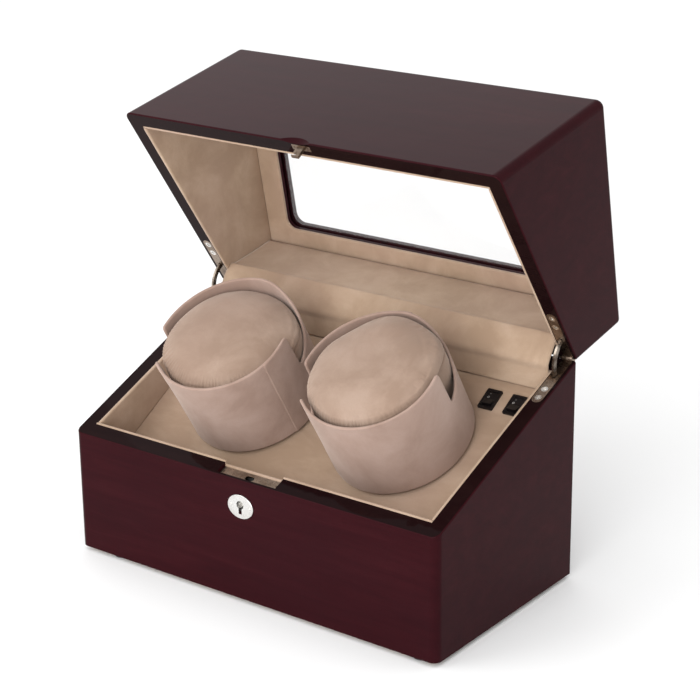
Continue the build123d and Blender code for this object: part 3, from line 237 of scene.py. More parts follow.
LACQUER = lacquer("mahogany_lacquer", (0.68, 0.82, 0.86), 1.115)
RIM_LACQUER = lacquer("mahogany_lacquer_rim", (0.27, 0.78, 0.58), 1.11)
SUEDE = suede("suede_lining", 0.86, -0.6)
SUEDE_DECK = suede("suede_deck", 0.86, -0.6, (0.6, 1.4, 1.0))
SUEDE_CUP = suede("suede_cup", 0.715, 1.2, (1.0, 1.0, 0.8))
SUEDE_CUSHION = suede("suede_cushion", 0.665, 0.3)
HINGE_METAL = metal("nickelled_brass", (0.30, 0.235, 0.185), (0.12, 0.078, 0.052), 0.24)
STAY_METAL = metal("worn_brass", (0.34, 0.29, 0.24), (0.06, 0.036, 0.024), 0.20)
SCREW_METAL = metal("bright_screw_steel", (0.80, 0.78, 0.75), (0.50, 0.47, 0.43), 0.14)
SILVER = metal("polished_silver_metal", (0.72, 0.71, 0.69), (0.55, 0.53, 0.50), 0.18)
STEEL = metal("zinc_steel", (0.50, 0.50, 0.50), (0.34, 0.34, 0.33), 0.34)
BLACK_PLASTIC = plastic("black_switch_plastic", (0.0050, 0.0036, 0.0040), 0.34)
BLACK_PLASTIC.node_tree.nodes["Principled BSDF"].inputs["Specular IOR Level"].default_value = 0.22
WHITE_PLASTIC = plastic("natural_nylon", (0.62, 0.60, 0.54), 0.5)
WIRE = plastic("wire_jacket", (0.02, 0.02, 0.02), 0.5)
RUBBER = plastic("bumper_rubber", (0.014, 0.013, 0.013), 0.72)
RAW_BOARD = board("plain_board", (0.23, 0.14, 0.075), (0.42, 0.28, 0.16))
CIRCUIT = plastic("solder_mask", (0.01, 0.075, 0.03), 0.4)
GLASS = glass()
MARK = plastic("switch_mark_paint", (0.30, 0.30, 0.29), 0.5)

BY_SLOT = {
    "lacquered_wood": LACQUER,
    "suede": SUEDE,
    "window_glass": GLASS,
    "hinge_metal": HINGE_METAL,
    "silver_metal": SILVER,
    "steel": STEEL,
    "black_plastic": BLACK_PLASTIC,
    "white_plastic": WHITE_PLASTIC,
    "wire_jacket": WIRE,
    "black_rubber": RUBBER,
    "raw_board": RAW_BOARD,
    "circuit_board": CIRCUIT,
}
SLOT_OF = {part["node"]: part["material_slot"] for part in frame["record"]["subparts"]}
OWN_FINISH = {
    "hinge_base_screws": SCREW_METAL,
    "hinge_lid_screws": SCREW_METAL,
    "hinge_stay_left": STAY_METAL,
    "hinge_stay_right": STAY_METAL,
}
for node_name, node_object in frame["nodes"].items():
    node_object.data.materials.clear()
    node_object.data.materials.append(OWN_FINISH.get(node_name, BY_SLOT[SLOT_OF[node_name]]))


def dress_rim(node, normal):
    """The flat rim a shell closes on is darker than its outer faces: the stain is laid heavier there."""
    mesh = frame["nodes"][node].data
    mesh.materials.append(RIM_LACQUER)
    direction = Vector(normal).normalized()
    for poly in mesh.polygons:
        if poly.normal.dot(direction) > 0.999:
            poly.material_index = 1


CASE_FRONT, CASE_BACK, CASE_DEPTH = 0.0903, 0.1615, 0.170
RIM_SLOPE = math.atan2(CASE_BACK - CASE_FRONT, CASE_DEPTH)
BASE_RIM_NORMAL = Vector((0, -math.sin(RIM_SLOPE), math.cos(RIM_SLOPE)))
dress_rim("base_shell", BASE_RIM_NORMAL)
dress_rim("lid_shell", turned_open(-BASE_RIM_NORMAL))


# ---------------------------------------------------------------- mesh helpers
def added(name, data):
    """A new object in the scene, made of some data."""
    made = bpy.data.objects.new(name, data)
    scene.collection.objects.link(made)
    return made


def build(name, verts, faces, material, body):
    """A smooth mesh piece with one material, riding a body where one is given."""
    mesh = bpy.data.meshes.new(name)
    mesh.from_pydata([tuple(v) for v in verts], [], [tuple(int(i) for i in f) for f in faces])
    mesh.polygons.foreach_set("use_smooth", [True] * len(mesh.polygons))
    mesh.materials.append(material)
    mesh.update()
    made = added(name, mesh)
    if body:
        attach(made, body)
    return made


def area_of(loop):
    """Signed area of a 2D loop."""
    x, y = loop[:, 0], loop[:, 1]
    return 0.5 * float(np.sum(x * np.roll(y, -1) - y * np.roll(x, -1)))


def resampled(loop, step):
    """The same loop with points no further apart than about a step."""
    out = []
    for a, b in zip(loop, np.roll(loop, -1, 0)):
        count = max(1, int(round(np.linalg.norm(b - a) / step)))
        for i in range(count):
            out.append(a + (b - a) * i / count)
    return np.array(out)


def inset(loop, distance):
    """The loop moved inward by a distance, mitred at its corners."""
    before = loop - np.roll(loop, 1, 0)
    after = np.roll(loop, -1, 0) - loop
    before /= np.linalg.norm(before, axis=1)[:, None] + 1e-12
    after /= np.linalg.norm(after, axis=1)[:, None] + 1e-12
    n1 = np.stack([-before[:, 1], before[:, 0]], 1)
    n2 = np.stack([-after[:, 1], after[:, 0]], 1)
    dot = np.sum(n1 * n2, 1)[:, None]
    return loop + distance * (n1 + n2) / np.maximum(1 + dot, 0.3)


def edge_distance(points, loops):
    """Distance of each point from the nearest of the loops."""
    best = np.full(len(points), 1e9)
    for a in loops:
        ab = (np.roll(a, -1, 0) - a)[None]
        for lo in range(0, len(points), 4000):
            p = points[lo : lo + 4000]
            t = np.sum((p[:, None] - a[None]) * ab, 2) / np.maximum(np.sum(ab**2, 2), 1e-18)
            near = a[None] + np.clip(t, 0, 1)[..., None] * ab
            found = np.sqrt(np.sum((p[:, None] - near) ** 2, 2)).min(1)
            best[lo : lo + 4000] = np.minimum(best[lo : lo + 4000], found)
    return best


def inside(points, loop):
    """Which points lie inside the loop."""
    x, y = points[:, 0][:, None], points[:, 1][:, None]
    ax, ay = loop[None, :, 0], loop[None, :, 1]
    bx, by = np.roll(loop, -1, 0).T[:, None]
    crosses = (ay > y) != (by > y)
    with np.errstate(divide="ignore", invalid="ignore"):
        at = (bx - ax) * (y - ay) / (by - ay) + ax
    return (np.sum(crosses & (x < at), 1) % 2) == 1


def enclosed(points, loops):
    """Which points lie inside the first loop and outside the others."""
    keep = inside(points, loops[0])
    for hole in loops[1:]:
        keep &= ~inside(points, hole)
    return keep


def triangulated(points, edges, loops, merge, smallest):
    """Triangles joining the points within the loops; twice a triangle's area is over the smallest."""
    found = geometry.delaunay_2d_cdt([Vector(p) for p in points], edges, [], 0, merge)
    verts = np.array([tuple(v) for v in found[0]])
    faces = np.array([f for f in found[2] if len(f) == 3])
    faces = faces[enclosed(verts[faces].mean(1), loops)]
    a, b, c = (verts[faces[:, i]] for i in range(3))
    twice = (b[:, 0] - a[:, 0]) * (c[:, 1] - a[:, 1]) - (b[:, 1] - a[:, 1]) * (c[:, 0] - a[:, 0])
    real = np.abs(twice) > smallest
    faces, twice = faces[real], twice[real]
    faces[twice < 0] = faces[twice < 0][:, ::-1]
    return verts, faces


def two_sided(faces, count):
    """The faces, and the same faces turned over on the second set of count vertices."""
    return [list(f) for f in faces] + [[f[2] + count, f[1] + count, f[0] + count] for f in faces]


def fill(loops, rings, grid):
    """Triangles filling an outline less its holes, with rows of points at the ring distances."""
    points = list(loops)
    edges = []
    start = 0
    for loop in loops:
        count = len(loop)
        edges += [(start + i, start + (i + 1) % count) for i in range(count)]
        start += count
    for distance in rings:
        for loop in loops:
            row = inset(loop, distance)
            keep = edge_distance(row, loops) > 0.93 * distance
            keep &= inside(row, loops[0])
            points.append(row[keep])
    low, high = loops[0].min(0), loops[0].max(0)
    nx = max(2, int((high[0] - low[0]) / grid))
    ny = max(2, int((high[1] - low[1]) / grid))
    gx, gy = np.meshgrid(np.linspace(low[0], high[0], nx + 1), np.linspace(low[1], high[1], ny + 1))
    gx[1::2] += (high[0] - low[0]) / nx / 2
    cells = np.stack([gx.ravel(), gy.ravel()], 1)
    cells = cells[enclosed(cells, loops)]
    points.append(cells[edge_distance(cells, loops) > rings[-1] + 0.5 * grid])
    return triangulated(np.concatenate(points), edges, loops, 1e-9, 1e-14)


def boundary(faces):
    """The directed edges that only one triangle has."""
    seen = {}
    for f in faces:
        for i in range(3):
            edge = (int(f[i]), int(f[(i + 1) % 3]))
            seen[edge] = True
    return [e for e in seen if (e[1], e[0]) not in seen]


def flat_face(mesh, n):
    """The polygons of a mesh's largest flat face along a normal, and its height along it."""
    groups = {}
    for poly in mesh.polygons:
        if poly.normal.dot(n) > 0.9995:
            groups.setdefault(round(poly.center.dot(n) * 10000), []).append(poly)
    biggest = max(groups.values(), key=lambda polys: sum(p.area for p in polys))
    return biggest, sum(p.center.dot(n) for p in biggest) / len(biggest)


def chained(following):
    """Loops of keys from a table of what follows each key."""
    chains = []
    while following:
        first, at = following.popitem()
        chain = [first]
        while at != first:
            chain.append(at)
            at = following.pop(at)
        chains.append(chain)
    return chains


def turning(loop):
    """The loop without the points that lie straight between their neighbours."""
    keep = []
    for i, q in enumerate(loop):
        p, r = loop[i - 1], loop[(i + 1) % len(loop)]
        turn = (q[0] - p[0]) * (r[1] - q[1]) - (q[1] - p[1]) * (r[0] - q[0])
        keep.append(abs(turn) > 1e-10)
    return loop[np.array(keep)]


def planar_loops(node, normal):
    """Outlines of a node's largest flat face along a normal, the axes they lie in, height and depth."""
    mesh = frame["nodes"][node].data
    n = Vector(normal).normalized()
    side = Vector((1, 0, 0)) if abs(n.x) < 0.9 else Vector((0, 1, 0))
    across = (side - n * side.dot(n)).normalized()
    up = n.cross(across)
    polys, height = flat_face(mesh, n)
    seen = {}
    place = {}
    for poly in polys:
        keys = []
        for index in poly.vertices:
            co = mesh.vertices[index].co
            key = (round(co.dot(across) * 1e6 / 2), round(co.dot(up) * 1e6 / 2))
            place[key] = (co.dot(across), co.dot(up))
            keys.append(key)
        for i, key in enumerate(keys):
            seen[(key, keys[(i + 1) % len(keys)])] = True
    following = {a: b for a, b in seen if (b, a) not in seen}
    loops = [turning(np.array([place[key] for key in chain])) for chain in chained(following)]
    loops.sort(key=lambda loop: -abs(area_of(loop)))
    loops = [loop if (area_of(loop) > 0) == (i == 0) else loop[::-1] for i, loop in enumerate(loops)]
    co = np.array([v.co for v in mesh.vertices])
    depth = height - float((co @ np.array(n)).min())
    return loops, np.array((across, up, n)), height, depth


def undulation(x, y, seed):
    """Slow unevenness of a hand-laid cover."""
    p = Vector((x / 0.045, y / 0.045, seed))
    return noise.noise(p) + 0.5 * noise.noise(p * 2.3)


def covered_panel(name, node, normal, edge, swell, seed, material, body):
    """A board wrapped in suede: rounded edges and a faint unevenness, in the place of a flat CAD panel."""
    loops, axes, height, depth = planar_loops(node, normal)
    loops = [resampled(loop, PANEL_STEP) for loop in loops]
    rings = [edge * k for k in (0.12, 0.4, 0.75, 1.15)]
    verts, faces = fill(loops, rings, PANEL_GRID)
    distance = edge_distance(verts, loops)
    short = np.clip(edge - distance, 0, edge)
    drop = edge - np.sqrt(np.maximum(edge**2 - short**2, 0))
    ease = np.clip(distance / 0.012, 0, 1)
    wave = np.array([undulation(x, y, seed) for x, y in verts])
    top = height - drop + swell * wave * ease
    bottom = np.full(len(verts), height - depth)
    count = len(verts)
    all_verts = np.concatenate([np.column_stack([verts, top]), np.column_stack([verts, bottom])])
    all_faces = two_sided(faces, count)
    for a, b in boundary(faces):
        all_faces.append([b, a, a + count, b + count])
    made = build(name, all_verts @ axes, all_faces, material, body)
    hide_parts(node)
    return made


# ---------------------------------------------------------------- lining
PANEL_STEP = 0.002
PANEL_GRID = 0.004
# covered board, its CAD node and the way it faces; the name begins with the body it rides on
LININGS = (
    ("base_front", "base_liner_front", (0, 1, 0)),
    ("base_rear", "base_liner_rear", (0, -1, 0)),
    ("base_left", "base_liner_left", (1, 0, 0)),
    ("base_right", "base_liner_right", (-1, 0, 0)),
    ("lid_front", "lid_liner_front", turned_open((0, 1, 0))),
    ("lid_rear", "lid_liner_rear", turned_open((0, -1, 0))),
    ("lid_left", "lid_liner_left", (1, 0, 0)),
    ("lid_right", "lid_liner_right", (-1, 0, 0)),
    ("lid_window", "lid_window_liner", turned_open((0, 0, -1))),
)
covered_panel("suede_deck", "deck", DECK_NORMAL, 0.0012, 0.00025, 1.0, SUEDE_DECK, "base")
for seed, (place, node_name, facing) in enumerate(LININGS, 2):
    covered_panel(f"suede_{place}", node_name, facing, 0.0011, 0.00015, seed, SUEDE, place.split("_")[0])

# ---------------------------------------------------------------- hinge flap
flap_low, flap_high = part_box("hinge_flap")
rear_low, rear_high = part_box("base_liner_rear")
FLAP_THICKNESS = 0.0010
flap_base_y = rear_low.y - 0.0007
lid_rear_normal = Vector(turned_open((0, -1, 0)))
lid_rear_up = Vector(turned_open((0, 0, 1)))
lid_face_point = OPENED @ Vector((0, flap_base_y - 0.0003, HINGE.z))


def flap_profile(count):
    """The flap's centre line, up the rear lining and over a soft fold to the lid's, and its fold's rows."""
    rim = rear_high.z
    start = Vector((0, flap_base_y, flap_low.z + 0.0003))
    low = Vector((0, flap_base_y, rim - 0.002))
    fold_low = Vector((0, flap_base_y - 0.0012, rim + 0.0065))
    join = lid_face_point + lid_rear_normal * 0.0006 + lid_rear_up * 0.003
    fold_high = join - lid_rear_up * 0.004 + Vector((0, -0.0022, 0.0006))
    upper = lid_face_point + lid_rear_up * 0.024
    end = lid_face_point + lid_rear_up * 0.0452
    points = [start, low, fold_low, fold_high, join, upper, end]
    out = []
    for i in range(len(points) - 1):
        p0 = points[max(i - 1, 0)]
        p1, p2 = points[i], points[i + 1]
        p3 = points[min(i + 2, len(points) - 1)]
        for k in range(count):
            t = k / count
            a = (p1 * 2) + (p2 - p0) * t
            b = (p0 * 2 - p1 * 5 + p2 * 4 - p3) * t * t
            c = (p1 * 3 - p0 - p2 * 3 + p3) * t**3
            out.append((a + b + c) * 0.5)
    out.append(points[-1])
    return out, [i * count for i in (1, 4)]


def flap_mesh(line, width, fold_middle, columns=120):
    """Vertices and faces of two skins along a centre line, joined at their edges, widest at the fold."""
    verts, faces = [], []
    rows = len(line)
    for layer in (0, 1):
        for i, point in enumerate(line):
            tangent = (line[min(i + 1, rows - 1)] - line[max(i - 1, 0)]).normalized()
            normal = Vector((0, -tangent.z, tangent.y))
            mid = math.exp(-(((i - fold_middle) / 12) ** 2))
            for k in range(columns + 1):
                x = (flap_low.x + width * k / columns) * (1 + 0.0125 * mid)
                wave = 0.0006 * mid * noise.noise(Vector((x / 0.03, i * 0.12, 3.7)))
                off = (0.5 if layer == 0 else -0.5) * FLAP_THICKNESS + wave
                verts.append((x, point.y + normal.y * off, point.z + normal.z * off))
    stride = columns + 1
    half = rows * stride
    for i in range(rows - 1):
        for k in range(columns):
            a, b = i * stride + k, i * stride + k + 1
            c, d = b + stride, a + stride
            faces.append((a, b, c, d))
            faces.append((half + d, half + c, half + b, half + a))
    for i in range(rows - 1):
        for k in (0, columns):
            a, d = i * stride + k, (i + 1) * stride + k
            quad = (a, d, half + d, half + a)
            faces.append(quad if k == 0 else quad[::-1])
    for k in range(columns):
        for i in (0, rows - 1):
            a, b = i * stride + k, i * stride + k + 1
            quad = (b, a, half + a, half + b)
            faces.append(quad if i == 0 else quad[::-1])
    return verts, faces


def make_flap():
    """The flap as one thin sheet from the base's rear lining to the lid's."""
    line, (fold_start, fold_end) = flap_profile(8)
    width = flap_high.x - flap_low.x
    verts, faces = flap_mesh(line, width, 0.5 * (fold_start + fold_end))
    made = build("suede_hinge_flap", verts, faces, SUEDE, None)
    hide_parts("hinge_flap")
    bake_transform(made)
    return made


make_flap()


# ---------------------------------------------------------------- rocker switch marks
def prism(outline, hole, thickness):
    """Vertices and faces of a thin printed mark: an outline, perhaps with a hole, raised off its surface."""
    loops = [outline] + ([hole] if hole else [])
    count = len(outline)
    verts = [(x, y, h) for loop in loops for h in (0.0, thickness) for x, y in loop]
    faces = []
    for i in range(count):
        j = (i + 1) % count
        faces.append((i, j, count + j, count + i))
        if hole:
            faces.append((2 * count + j, 2 * count + i, 3 * count + i, 3 * count + j))
            faces.append((count + i, count + j, 3 * count + j, 3 * count + i))
            faces.append((j, i, 2 * count + i, 2 * count + j))
    if not hole:
        faces.append(tuple(range(count, 2 * count)))
        faces.append(tuple(range(count))[::-1])
    return verts, faces


def rounded(half_x, half_y, radius, sides=32):
    """A rounded outline about the origin; a circle when both half sizes equal the radius."""
    out = []
    for i in range(sides):
        t = 2 * math.pi * (i + 0.5) / sides
        c, d = math.cos(t), math.sin(t)
        x = math.copysign(half_x - radius, c) + radius * c
        y = math.copysign(half_y - radius, d) + radius * d
        out.append((x, y))
    return out


def mark_switch(side):
    """A short bar and a small ring printed on the rear half of the rocker."""
    node = frame["nodes"][f"switch_rocker_{side}"].data
    faces = [poly for poly in node.polygons if poly.normal.dot(Vector(DECK_NORMAL)) > 0.8]
    rear = max(faces, key=lambda poly: poly.center.y)
    half = [poly for poly in faces if poly.normal.dot(rear.normal) > 0.999]
    area = sum(poly.area for poly in half)
    middle = sum((poly.center * poly.area for poly in half), Vector()) / area
    normal = half[0].normal.copy()
    along = normal.cross(Vector((1, 0, 0)))
    ring = (rounded(0.00085, 0.00085, 0.00085), rounded(0.0005, 0.0005, 0.0005))
    bar = (rounded(0.00025, 0.0008, 0.0002), None)
    for kind, (outline, hole), dx, dy in (("bar", bar, -0.0016, 0.0018), ("ring", ring, -0.0020, -0.0017)):
        origin = middle + Vector((dx, 0, 0)) + along * dy
        verts, quads = prism(outline, hole, 0.00006)
        placed = [origin + Vector((x, 0, 0)) + along * y + normal * h for x, y, h in verts]
        made = build(f"switch_{kind}_mark_{side}", placed, quads, MARK, f"rocker_{side}")
        made.data.polygons.foreach_set("use_smooth", [False] * len(made.data.polygons))


for side in SIDES:
    mark_switch(side)


# ---------------------------------------------------------------- winder cups
def cup_frame(side):
    """Where a cup stands: its Z is the axis that it turns about, from the middle of its bottom."""
    joint = JOINTS[f"cup_{side}_turn"]
    z = Vector(joint["axis"]).normalized()
    x = Vector((1, 0, 0))
    y = z.cross(x)
    matrix = Matrix((x, y, z)).transposed().to_4x4()
    matrix.translation = Vector(joint["pos_m"])
    return matrix


CUP_R = (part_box("cup_left")[1].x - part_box("cup_left")[0].x) / 2
WALL = 0.0022
WALL_MIDDLE = CUP_R - WALL / 2
# height of the wall's top edge round the cup: angle in degrees (0 right, 90 rear), height in millimetres
RIM = (
    (8.6, 43.5),
    (12.0, 43.0),
    (20.0, 44.6),
    (34.0, 48.6),
    (49.0, 54.4),
    (64.0, 60.6),
    (77.0, 66.6),
    (84.0, 69.2),
    (92.0, 70.2),
    (110.0, 70.2),
    (135.0, 70.0),
    (155.0, 70.0),
    (172.0, 70.2),
    (184.0, 70.4),
    (189.4, 70.8),
    (190.6, 69.6),
    (191.4, 55.0),
    (193.0, 52.6),
    (200.0, 49.0),
    (212.0, 44.2),
    (224.0, 43.0),
    (226.0, 44.6),
    (228.6, 71.0),
    (229.4, 73.0),
    (230.8, 73.6),
    (233.0, 73.0),
    (240.0, 71.6),
    (252.0, 70.7),
    (270.0, 70.3),
    (290.0, 70.3),
    (312.0, 70.7),
    (332.0, 71.6),
    (348.0, 73.0),
    (358.0, 74.3),
    (363.0, 75.0),
    (365.6, 74.6),
    (366.6, 72.6),
)
# the wall is unrolled from this angle at the back, where its top edge is this high in millimetres
BACK_ANGLE, BACK_HEIGHT = 100.0, 70.2
# angle of the cover's overlapped seam, and how far the wall leans out at its top
CUP_SEAM = {"left": 338.0, "right": 450.0}
CUP_FLARE = {"left": 0.0014, "right": 0.0006}
# distances from a rolled edge where rows of points lie
EDGE_ROWS = [WALL / 2 * k for k in (0.06, 0.2, 0.42, 0.7, 1.05)]
CUP_STEP = 0.0018


def cup_edge():
    """The wall's unrolled top edge from the back round to the back: distance round the wall, and height."""
    rim = [(a, h) for a, h in RIM] + [(a + 360, h) for a, h in RIM]
    rim = [(a, h) for a, h in rim if BACK_ANGLE < a < BACK_ANGLE + 360]
    rim = [(BACK_ANGLE, BACK_HEIGHT)] + rim + [(BACK_ANGLE + 360, BACK_HEIGHT)]
    corners = np.array([(math.radians(a) * WALL_MIDDLE, h * MM) for a, h in rim])
    dense = []
    for a, b in zip(corners, corners[1:]):
        count = max(1, int(round(np.linalg.norm(b - a) / 0.0008)))
        dense += [a + (b - a) * i / count for i in range(count)]
    dense.append(corners[-1])
    dense = np.array(dense)
    for _ in range(7):
        dense[1:-1] = 0.5 * dense[1:-1] + 0.25 * (dense[:-2] + dense[2:])
    return dense


def cup_outline(edge, base_u):
    """The unrolled wall's outline: the bottom, up one end, back along the top edge, down the other end."""
    heights = [BACK_HEIGHT * MM - r for r in EDGE_ROWS]
    v = heights[-1] - CUP_STEP
    while v > 0.0035:
        heights.append(v)
        v -= CUP_STEP
    heights += EDGE_ROWS
    heights.sort()
    bottom = np.column_stack([base_u, np.zeros(len(base_u))])
    far_end = [(base_u[-1], h) for h in heights]
    near_end = [(base_u[0], h) for h in heights[::-1]]
    return np.concatenate([bottom, far_end, edge[::-1], near_end])


def row_below(edge, distance):
    """The inner points of the top edge, moved down into the wall by a distance."""
    before = edge[1:-1] - edge[:-2]
    after = edge[2:] - edge[1:-1]
    tangent = before / np.linalg.norm(before, axis=1)[:, None]
    tangent = tangent + after / np.linalg.norm(after, axis=1)[:, None]
    tangent /= np.linalg.norm(tangent, axis=1)[:, None]
    return edge[1:-1] + distance * np.stack([tangent[:, 1], -tangent[:, 0]], 1)


def cup_sheet(edge, seam_u):
    """The unrolled wall as flat triangles, finer along its edges and its seam."""
    left_u, right_u = edge[0, 0], edge[-1, 0]
    base_u = np.linspace(left_u, right_u, int((right_u - left_u) / 0.0012) + 1)
    outline = cup_outline(edge, base_u)
    edges = [(i, (i + 1) % len(outline)) for i in range(len(outline))]
    points = [outline]
    top_loop = np.concatenate([edge, edge[::-1] + (0, 1e-9)])
    for r in EDGE_ROWS:
        row = row_below(edge, r)
        keep = edge_distance(row, [top_loop]) > 0.95 * r
        keep &= (row[:, 0] > left_u + 0.0004) & (row[:, 0] < right_u - 0.0004)
        points.append(row[keep])
        points.append(np.column_stack([base_u[1:-1], np.full(len(base_u) - 2, r)]))
    for du in (-0.0012, -0.0004, -0.00012, 0.00012, 0.0004, 0.0012):
        for h in np.arange(0.003, 0.0685, 0.0012):
            points.append(np.array([(seam_u + du, h)]))
    along = np.arange(left_u + CUP_STEP, right_u - CUP_STEP / 2, CUP_STEP)
    gx, gy = np.meshgrid(along, np.arange(0.003, 0.076, CUP_STEP))
    gx[1::2] += CUP_STEP / 2
    cells = np.column_stack([gx.ravel(), gy.ravel()])
    cells = cells[inside(cells, outline)]
    far = edge_distance(cells, [top_loop]) > EDGE_ROWS[-1] + 0.0008
    far &= cells[:, 1] > EDGE_ROWS[-1] + 0.0008
    far &= np.abs(cells[:, 0] - seam_u) > 0.0016
    far &= cells[:, 0] < right_u - 0.0009
    points.append(cells[far])
    verts, faces = triangulated(np.concatenate(points), edges, [outline], 1e-8, 1e-13)
    return verts, faces, np.minimum(edge_distance(verts, [top_loop]), verts[:, 1])


def cup_floor(first):
    """A disc inside the wall with a hole for the boss; its vertices are numbered from first."""
    ring = 96
    boss_r, floor_r = 0.0064, CUP_R - WALL + 0.0004
    underside = ((boss_r, 0.0002), (floor_r, 0.0002))
    profile = underside + ((floor_r, 0.0030), (floor_r - 0.004, 0.0032), (boss_r, 0.0030))
    t = np.linspace(0, 2 * math.pi, ring, endpoint=False)
    circle = np.column_stack([np.cos(t), np.sin(t)])
    verts = np.concatenate([np.column_stack([r * circle, np.full(ring, h)]) for r, h in profile])
    faces = []
    for i in range(len(profile)):
        here, there = first + i * ring, first + (i + 1) % len(profile) * ring
        faces += [[here + k, there + k, there + (k + 1) % ring, here + (k + 1) % ring] for k in range(ring)]
    return verts, faces


def make_cup(side):
    """A cup's floor, and its wall rolled up from a flat sheet, with rounded edges and a lapped seam."""
    seam_u = math.radians(CUP_SEAM[side]) * WALL_MIDDLE
    verts, faces, distance = cup_sheet(cup_edge(), seam_u)
    radius = WALL / 2
    short = np.clip(radius - distance, 0, radius)
    half = np.sqrt(np.maximum(radius**2 - short**2, 0))
    angle = verts[:, 0] / WALL_MIDDLE
    degrees = np.degrees(angle) % 360
    up = verts[:, 1]
    # the back of the collar leans out a little, and the hand-wrapped cover is not quite round
    lean = 0.0008 * np.clip((up - 0.045) / 0.025, 0, 1) ** 2
    lean *= np.clip(np.minimum(degrees - 30, 190 - degrees) / 40, 0, 1)
    lean += CUP_FLARE[side] * np.clip(up / 0.070, 0, 1) ** 2
    seed = 11.0 if side == "left" else 23.0
    wave = np.array(
        [
            0.00030 * noise.noise(Vector((math.cos(t) * 1.6, math.sin(t) * 1.6, h / 0.03 + seed)))
            + 0.00010 * noise.noise(Vector((math.cos(t) * 6, math.sin(t) * 6, h / 0.010 + seed)))
            for t, h in zip(angle, up)
        ]
    )
    past = seam_u - verts[:, 0]
    step_out = np.where(past < 0, 0.00085 * np.exp(past / 0.007), 0.0)
    groove = 0.00012 * np.exp(-((past - 0.0004) ** 2) / 0.0003**2)
    outer = WALL_MIDDLE + half + (wave + step_out - groove) * (half / radius) + lean
    inner = WALL_MIDDLE - half + 0.4 * wave * (half / radius) + lean
    cos, sin = np.cos(angle), np.sin(angle)
    wall = [np.column_stack([r * cos, r * sin, up]) for r in (outer, inner)]
    floor_verts, floor_faces = cup_floor(2 * len(verts))
    shell = np.concatenate(wall + [floor_verts])
    placed = (np.array(cup_frame(side)) @ np.column_stack([shell, np.ones(len(shell))]).T).T[:, :3]
    all_faces = two_sided(faces, len(verts)) + floor_faces
    made = build(f"suede_cup_{side}", placed, all_faces, SUEDE_CUP, None)
    weld(made, 2e-6)
    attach(made, f"cup_{side}")
    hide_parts(f"cup_{side}")
    return made


def weld(obj, distance):
    """Join the vertices that lie together and turn all faces outward."""
    bm = bmesh.new()
    bm.from_mesh(obj.data)
    bmesh.ops.remove_doubles(bm, verts=bm.verts, dist=distance)
    bmesh.ops.recalc_face_normals(bm, faces=bm.faces)
    bm.to_mesh(obj.data)
    bm.free()


for side in SIDES:
    make_cup(side)

# ---------------------------------------------------------------- cushions
CUSHION_R = (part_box("cushion_left")[1].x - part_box("cushion_left")[0].x) / 2
SEGMENTS = 240
# furthest the stuffing pushes the cover out of its cut shape
SWELL_CAP = 0.0009
# radius, height of the seam, rise of the dome, two fullnesses of its shoulder, and two leans across the cup
DOME = {
    "left": (0.0488, 0.0575, 0.0178, 0.81, 0.99, -0.105, -0.020),
    "right": (0.0476, 0.0610, 0.0188, 0.64, 0.76, 0.035, 0.022),
}
# swellings and dents in the stuffing: angle and spread in degrees, lowest and highest point, push out, lift
DENTS = {
    "left": (
        (206.0, 20.0, 0.040, 0.072, 0.0012, 0.0),
        (66.0, 7.0, 0.050, 0.090, -0.0004, 0.0012),
        (96.0, 10.0, 0.050, 0.090, 0.0, -0.0008),
        (32.0, 20.0, 0.040, 0.090, 0.0012, 0.0),
    ),
    "right": (
        (206.0, 20.0, 0.040, 0.072, 0.0008, 0.0),
        (101.0, 20.0, 0.050, 0.095, 0.0010, 0.0014),
        (142.0, 17.0, 0.050, 0.095, -0.0008, -0.0014),
        (15.0, 12.0, 0.025, 0.067, -0.0050, 0.0),
        (46.0, 15.0, 0.040, 0.090, 0.0022, 0.0),
    ),
}


def cushion_profile(side):
    """Radii and heights from the dome down to the underside, the height of the top, and the seam's row."""
    radius, seam, rise, full, flat = DOME[side][:5]
    turns = np.linspace(0, math.pi / 2, 30)
    dome = [(radius * math.sin(t) ** full, seam + rise * max(math.cos(t), 0) ** flat) for t in turns]
    band = [(radius * k, seam - h) for k, h in ((0.998, 0.005), (1.0, 0.012), (1.0, 0.021), (0.995, 0.030))]
    band.append((radius * 0.975, 0.018))
    under = ((0.93, 0.012), (0.86, 0.0088), (0.7, 0.0083), (0.45, 0.0083), (0.2, 0.0083))
    base = [(radius * k, h) for k, h in under]
    fine = []
    for a, b in zip([dome[-1]] + band + base[:-1], band + base):
        for k in range(1, 4):
            fine.append((a[0] + (b[0] - a[0]) * k / 3, a[1] + (b[1] - a[1]) * k / 3))
    return dome[1:] + fine, dome[0][1], len(dome) - 2


def revolved(top, rings, bottom):
    """Vertices and faces of a closed body made of rings of points between a top and a bottom point."""
    rows, segments = rings.shape[:2]
    verts = np.concatenate([[top], rings.reshape(-1, 3), [bottom]])
    grid = 1 + np.arange(rows * segments).reshape(rows, segments)
    after = np.roll(grid, -1, 1)
    quads = np.stack([grid[:-1], grid[1:], after[1:], after[:-1]], 2).reshape(-1, 4)
    cap = [(0, int(i), int(j)) for i, j in zip(grid[0], after[0])]
    underside = [(len(verts) - 1, int(j), int(i)) for i, j in zip(grid[-1], after[-1])]
    return verts, cap + [tuple(quad) for quad in quads] + underside


def doubled(rings, axis):
    """Twice as many rows (axis 0) or points round each ring (axis 1), on a curve through the old ones."""
    if axis == 0:
        padded = np.pad(rings, ((1, 2), (0, 0), (0, 0)), "edge")
        before, here, after, beyond = padded[:-3], padded[1:-2], padded[2:-1], padded[3:]
    else:
        before, here, after, beyond = (np.roll(rings, shift, 1) for shift in (1, 0, -1, -2))
    between = (9 * (here + after) - before - beyond) / 16
    shape = list(rings.shape)
    shape[axis] *= 2
    out = np.stack([here, between], axis + 1).reshape(shape)
    return out[:-1] if axis == 0 else out


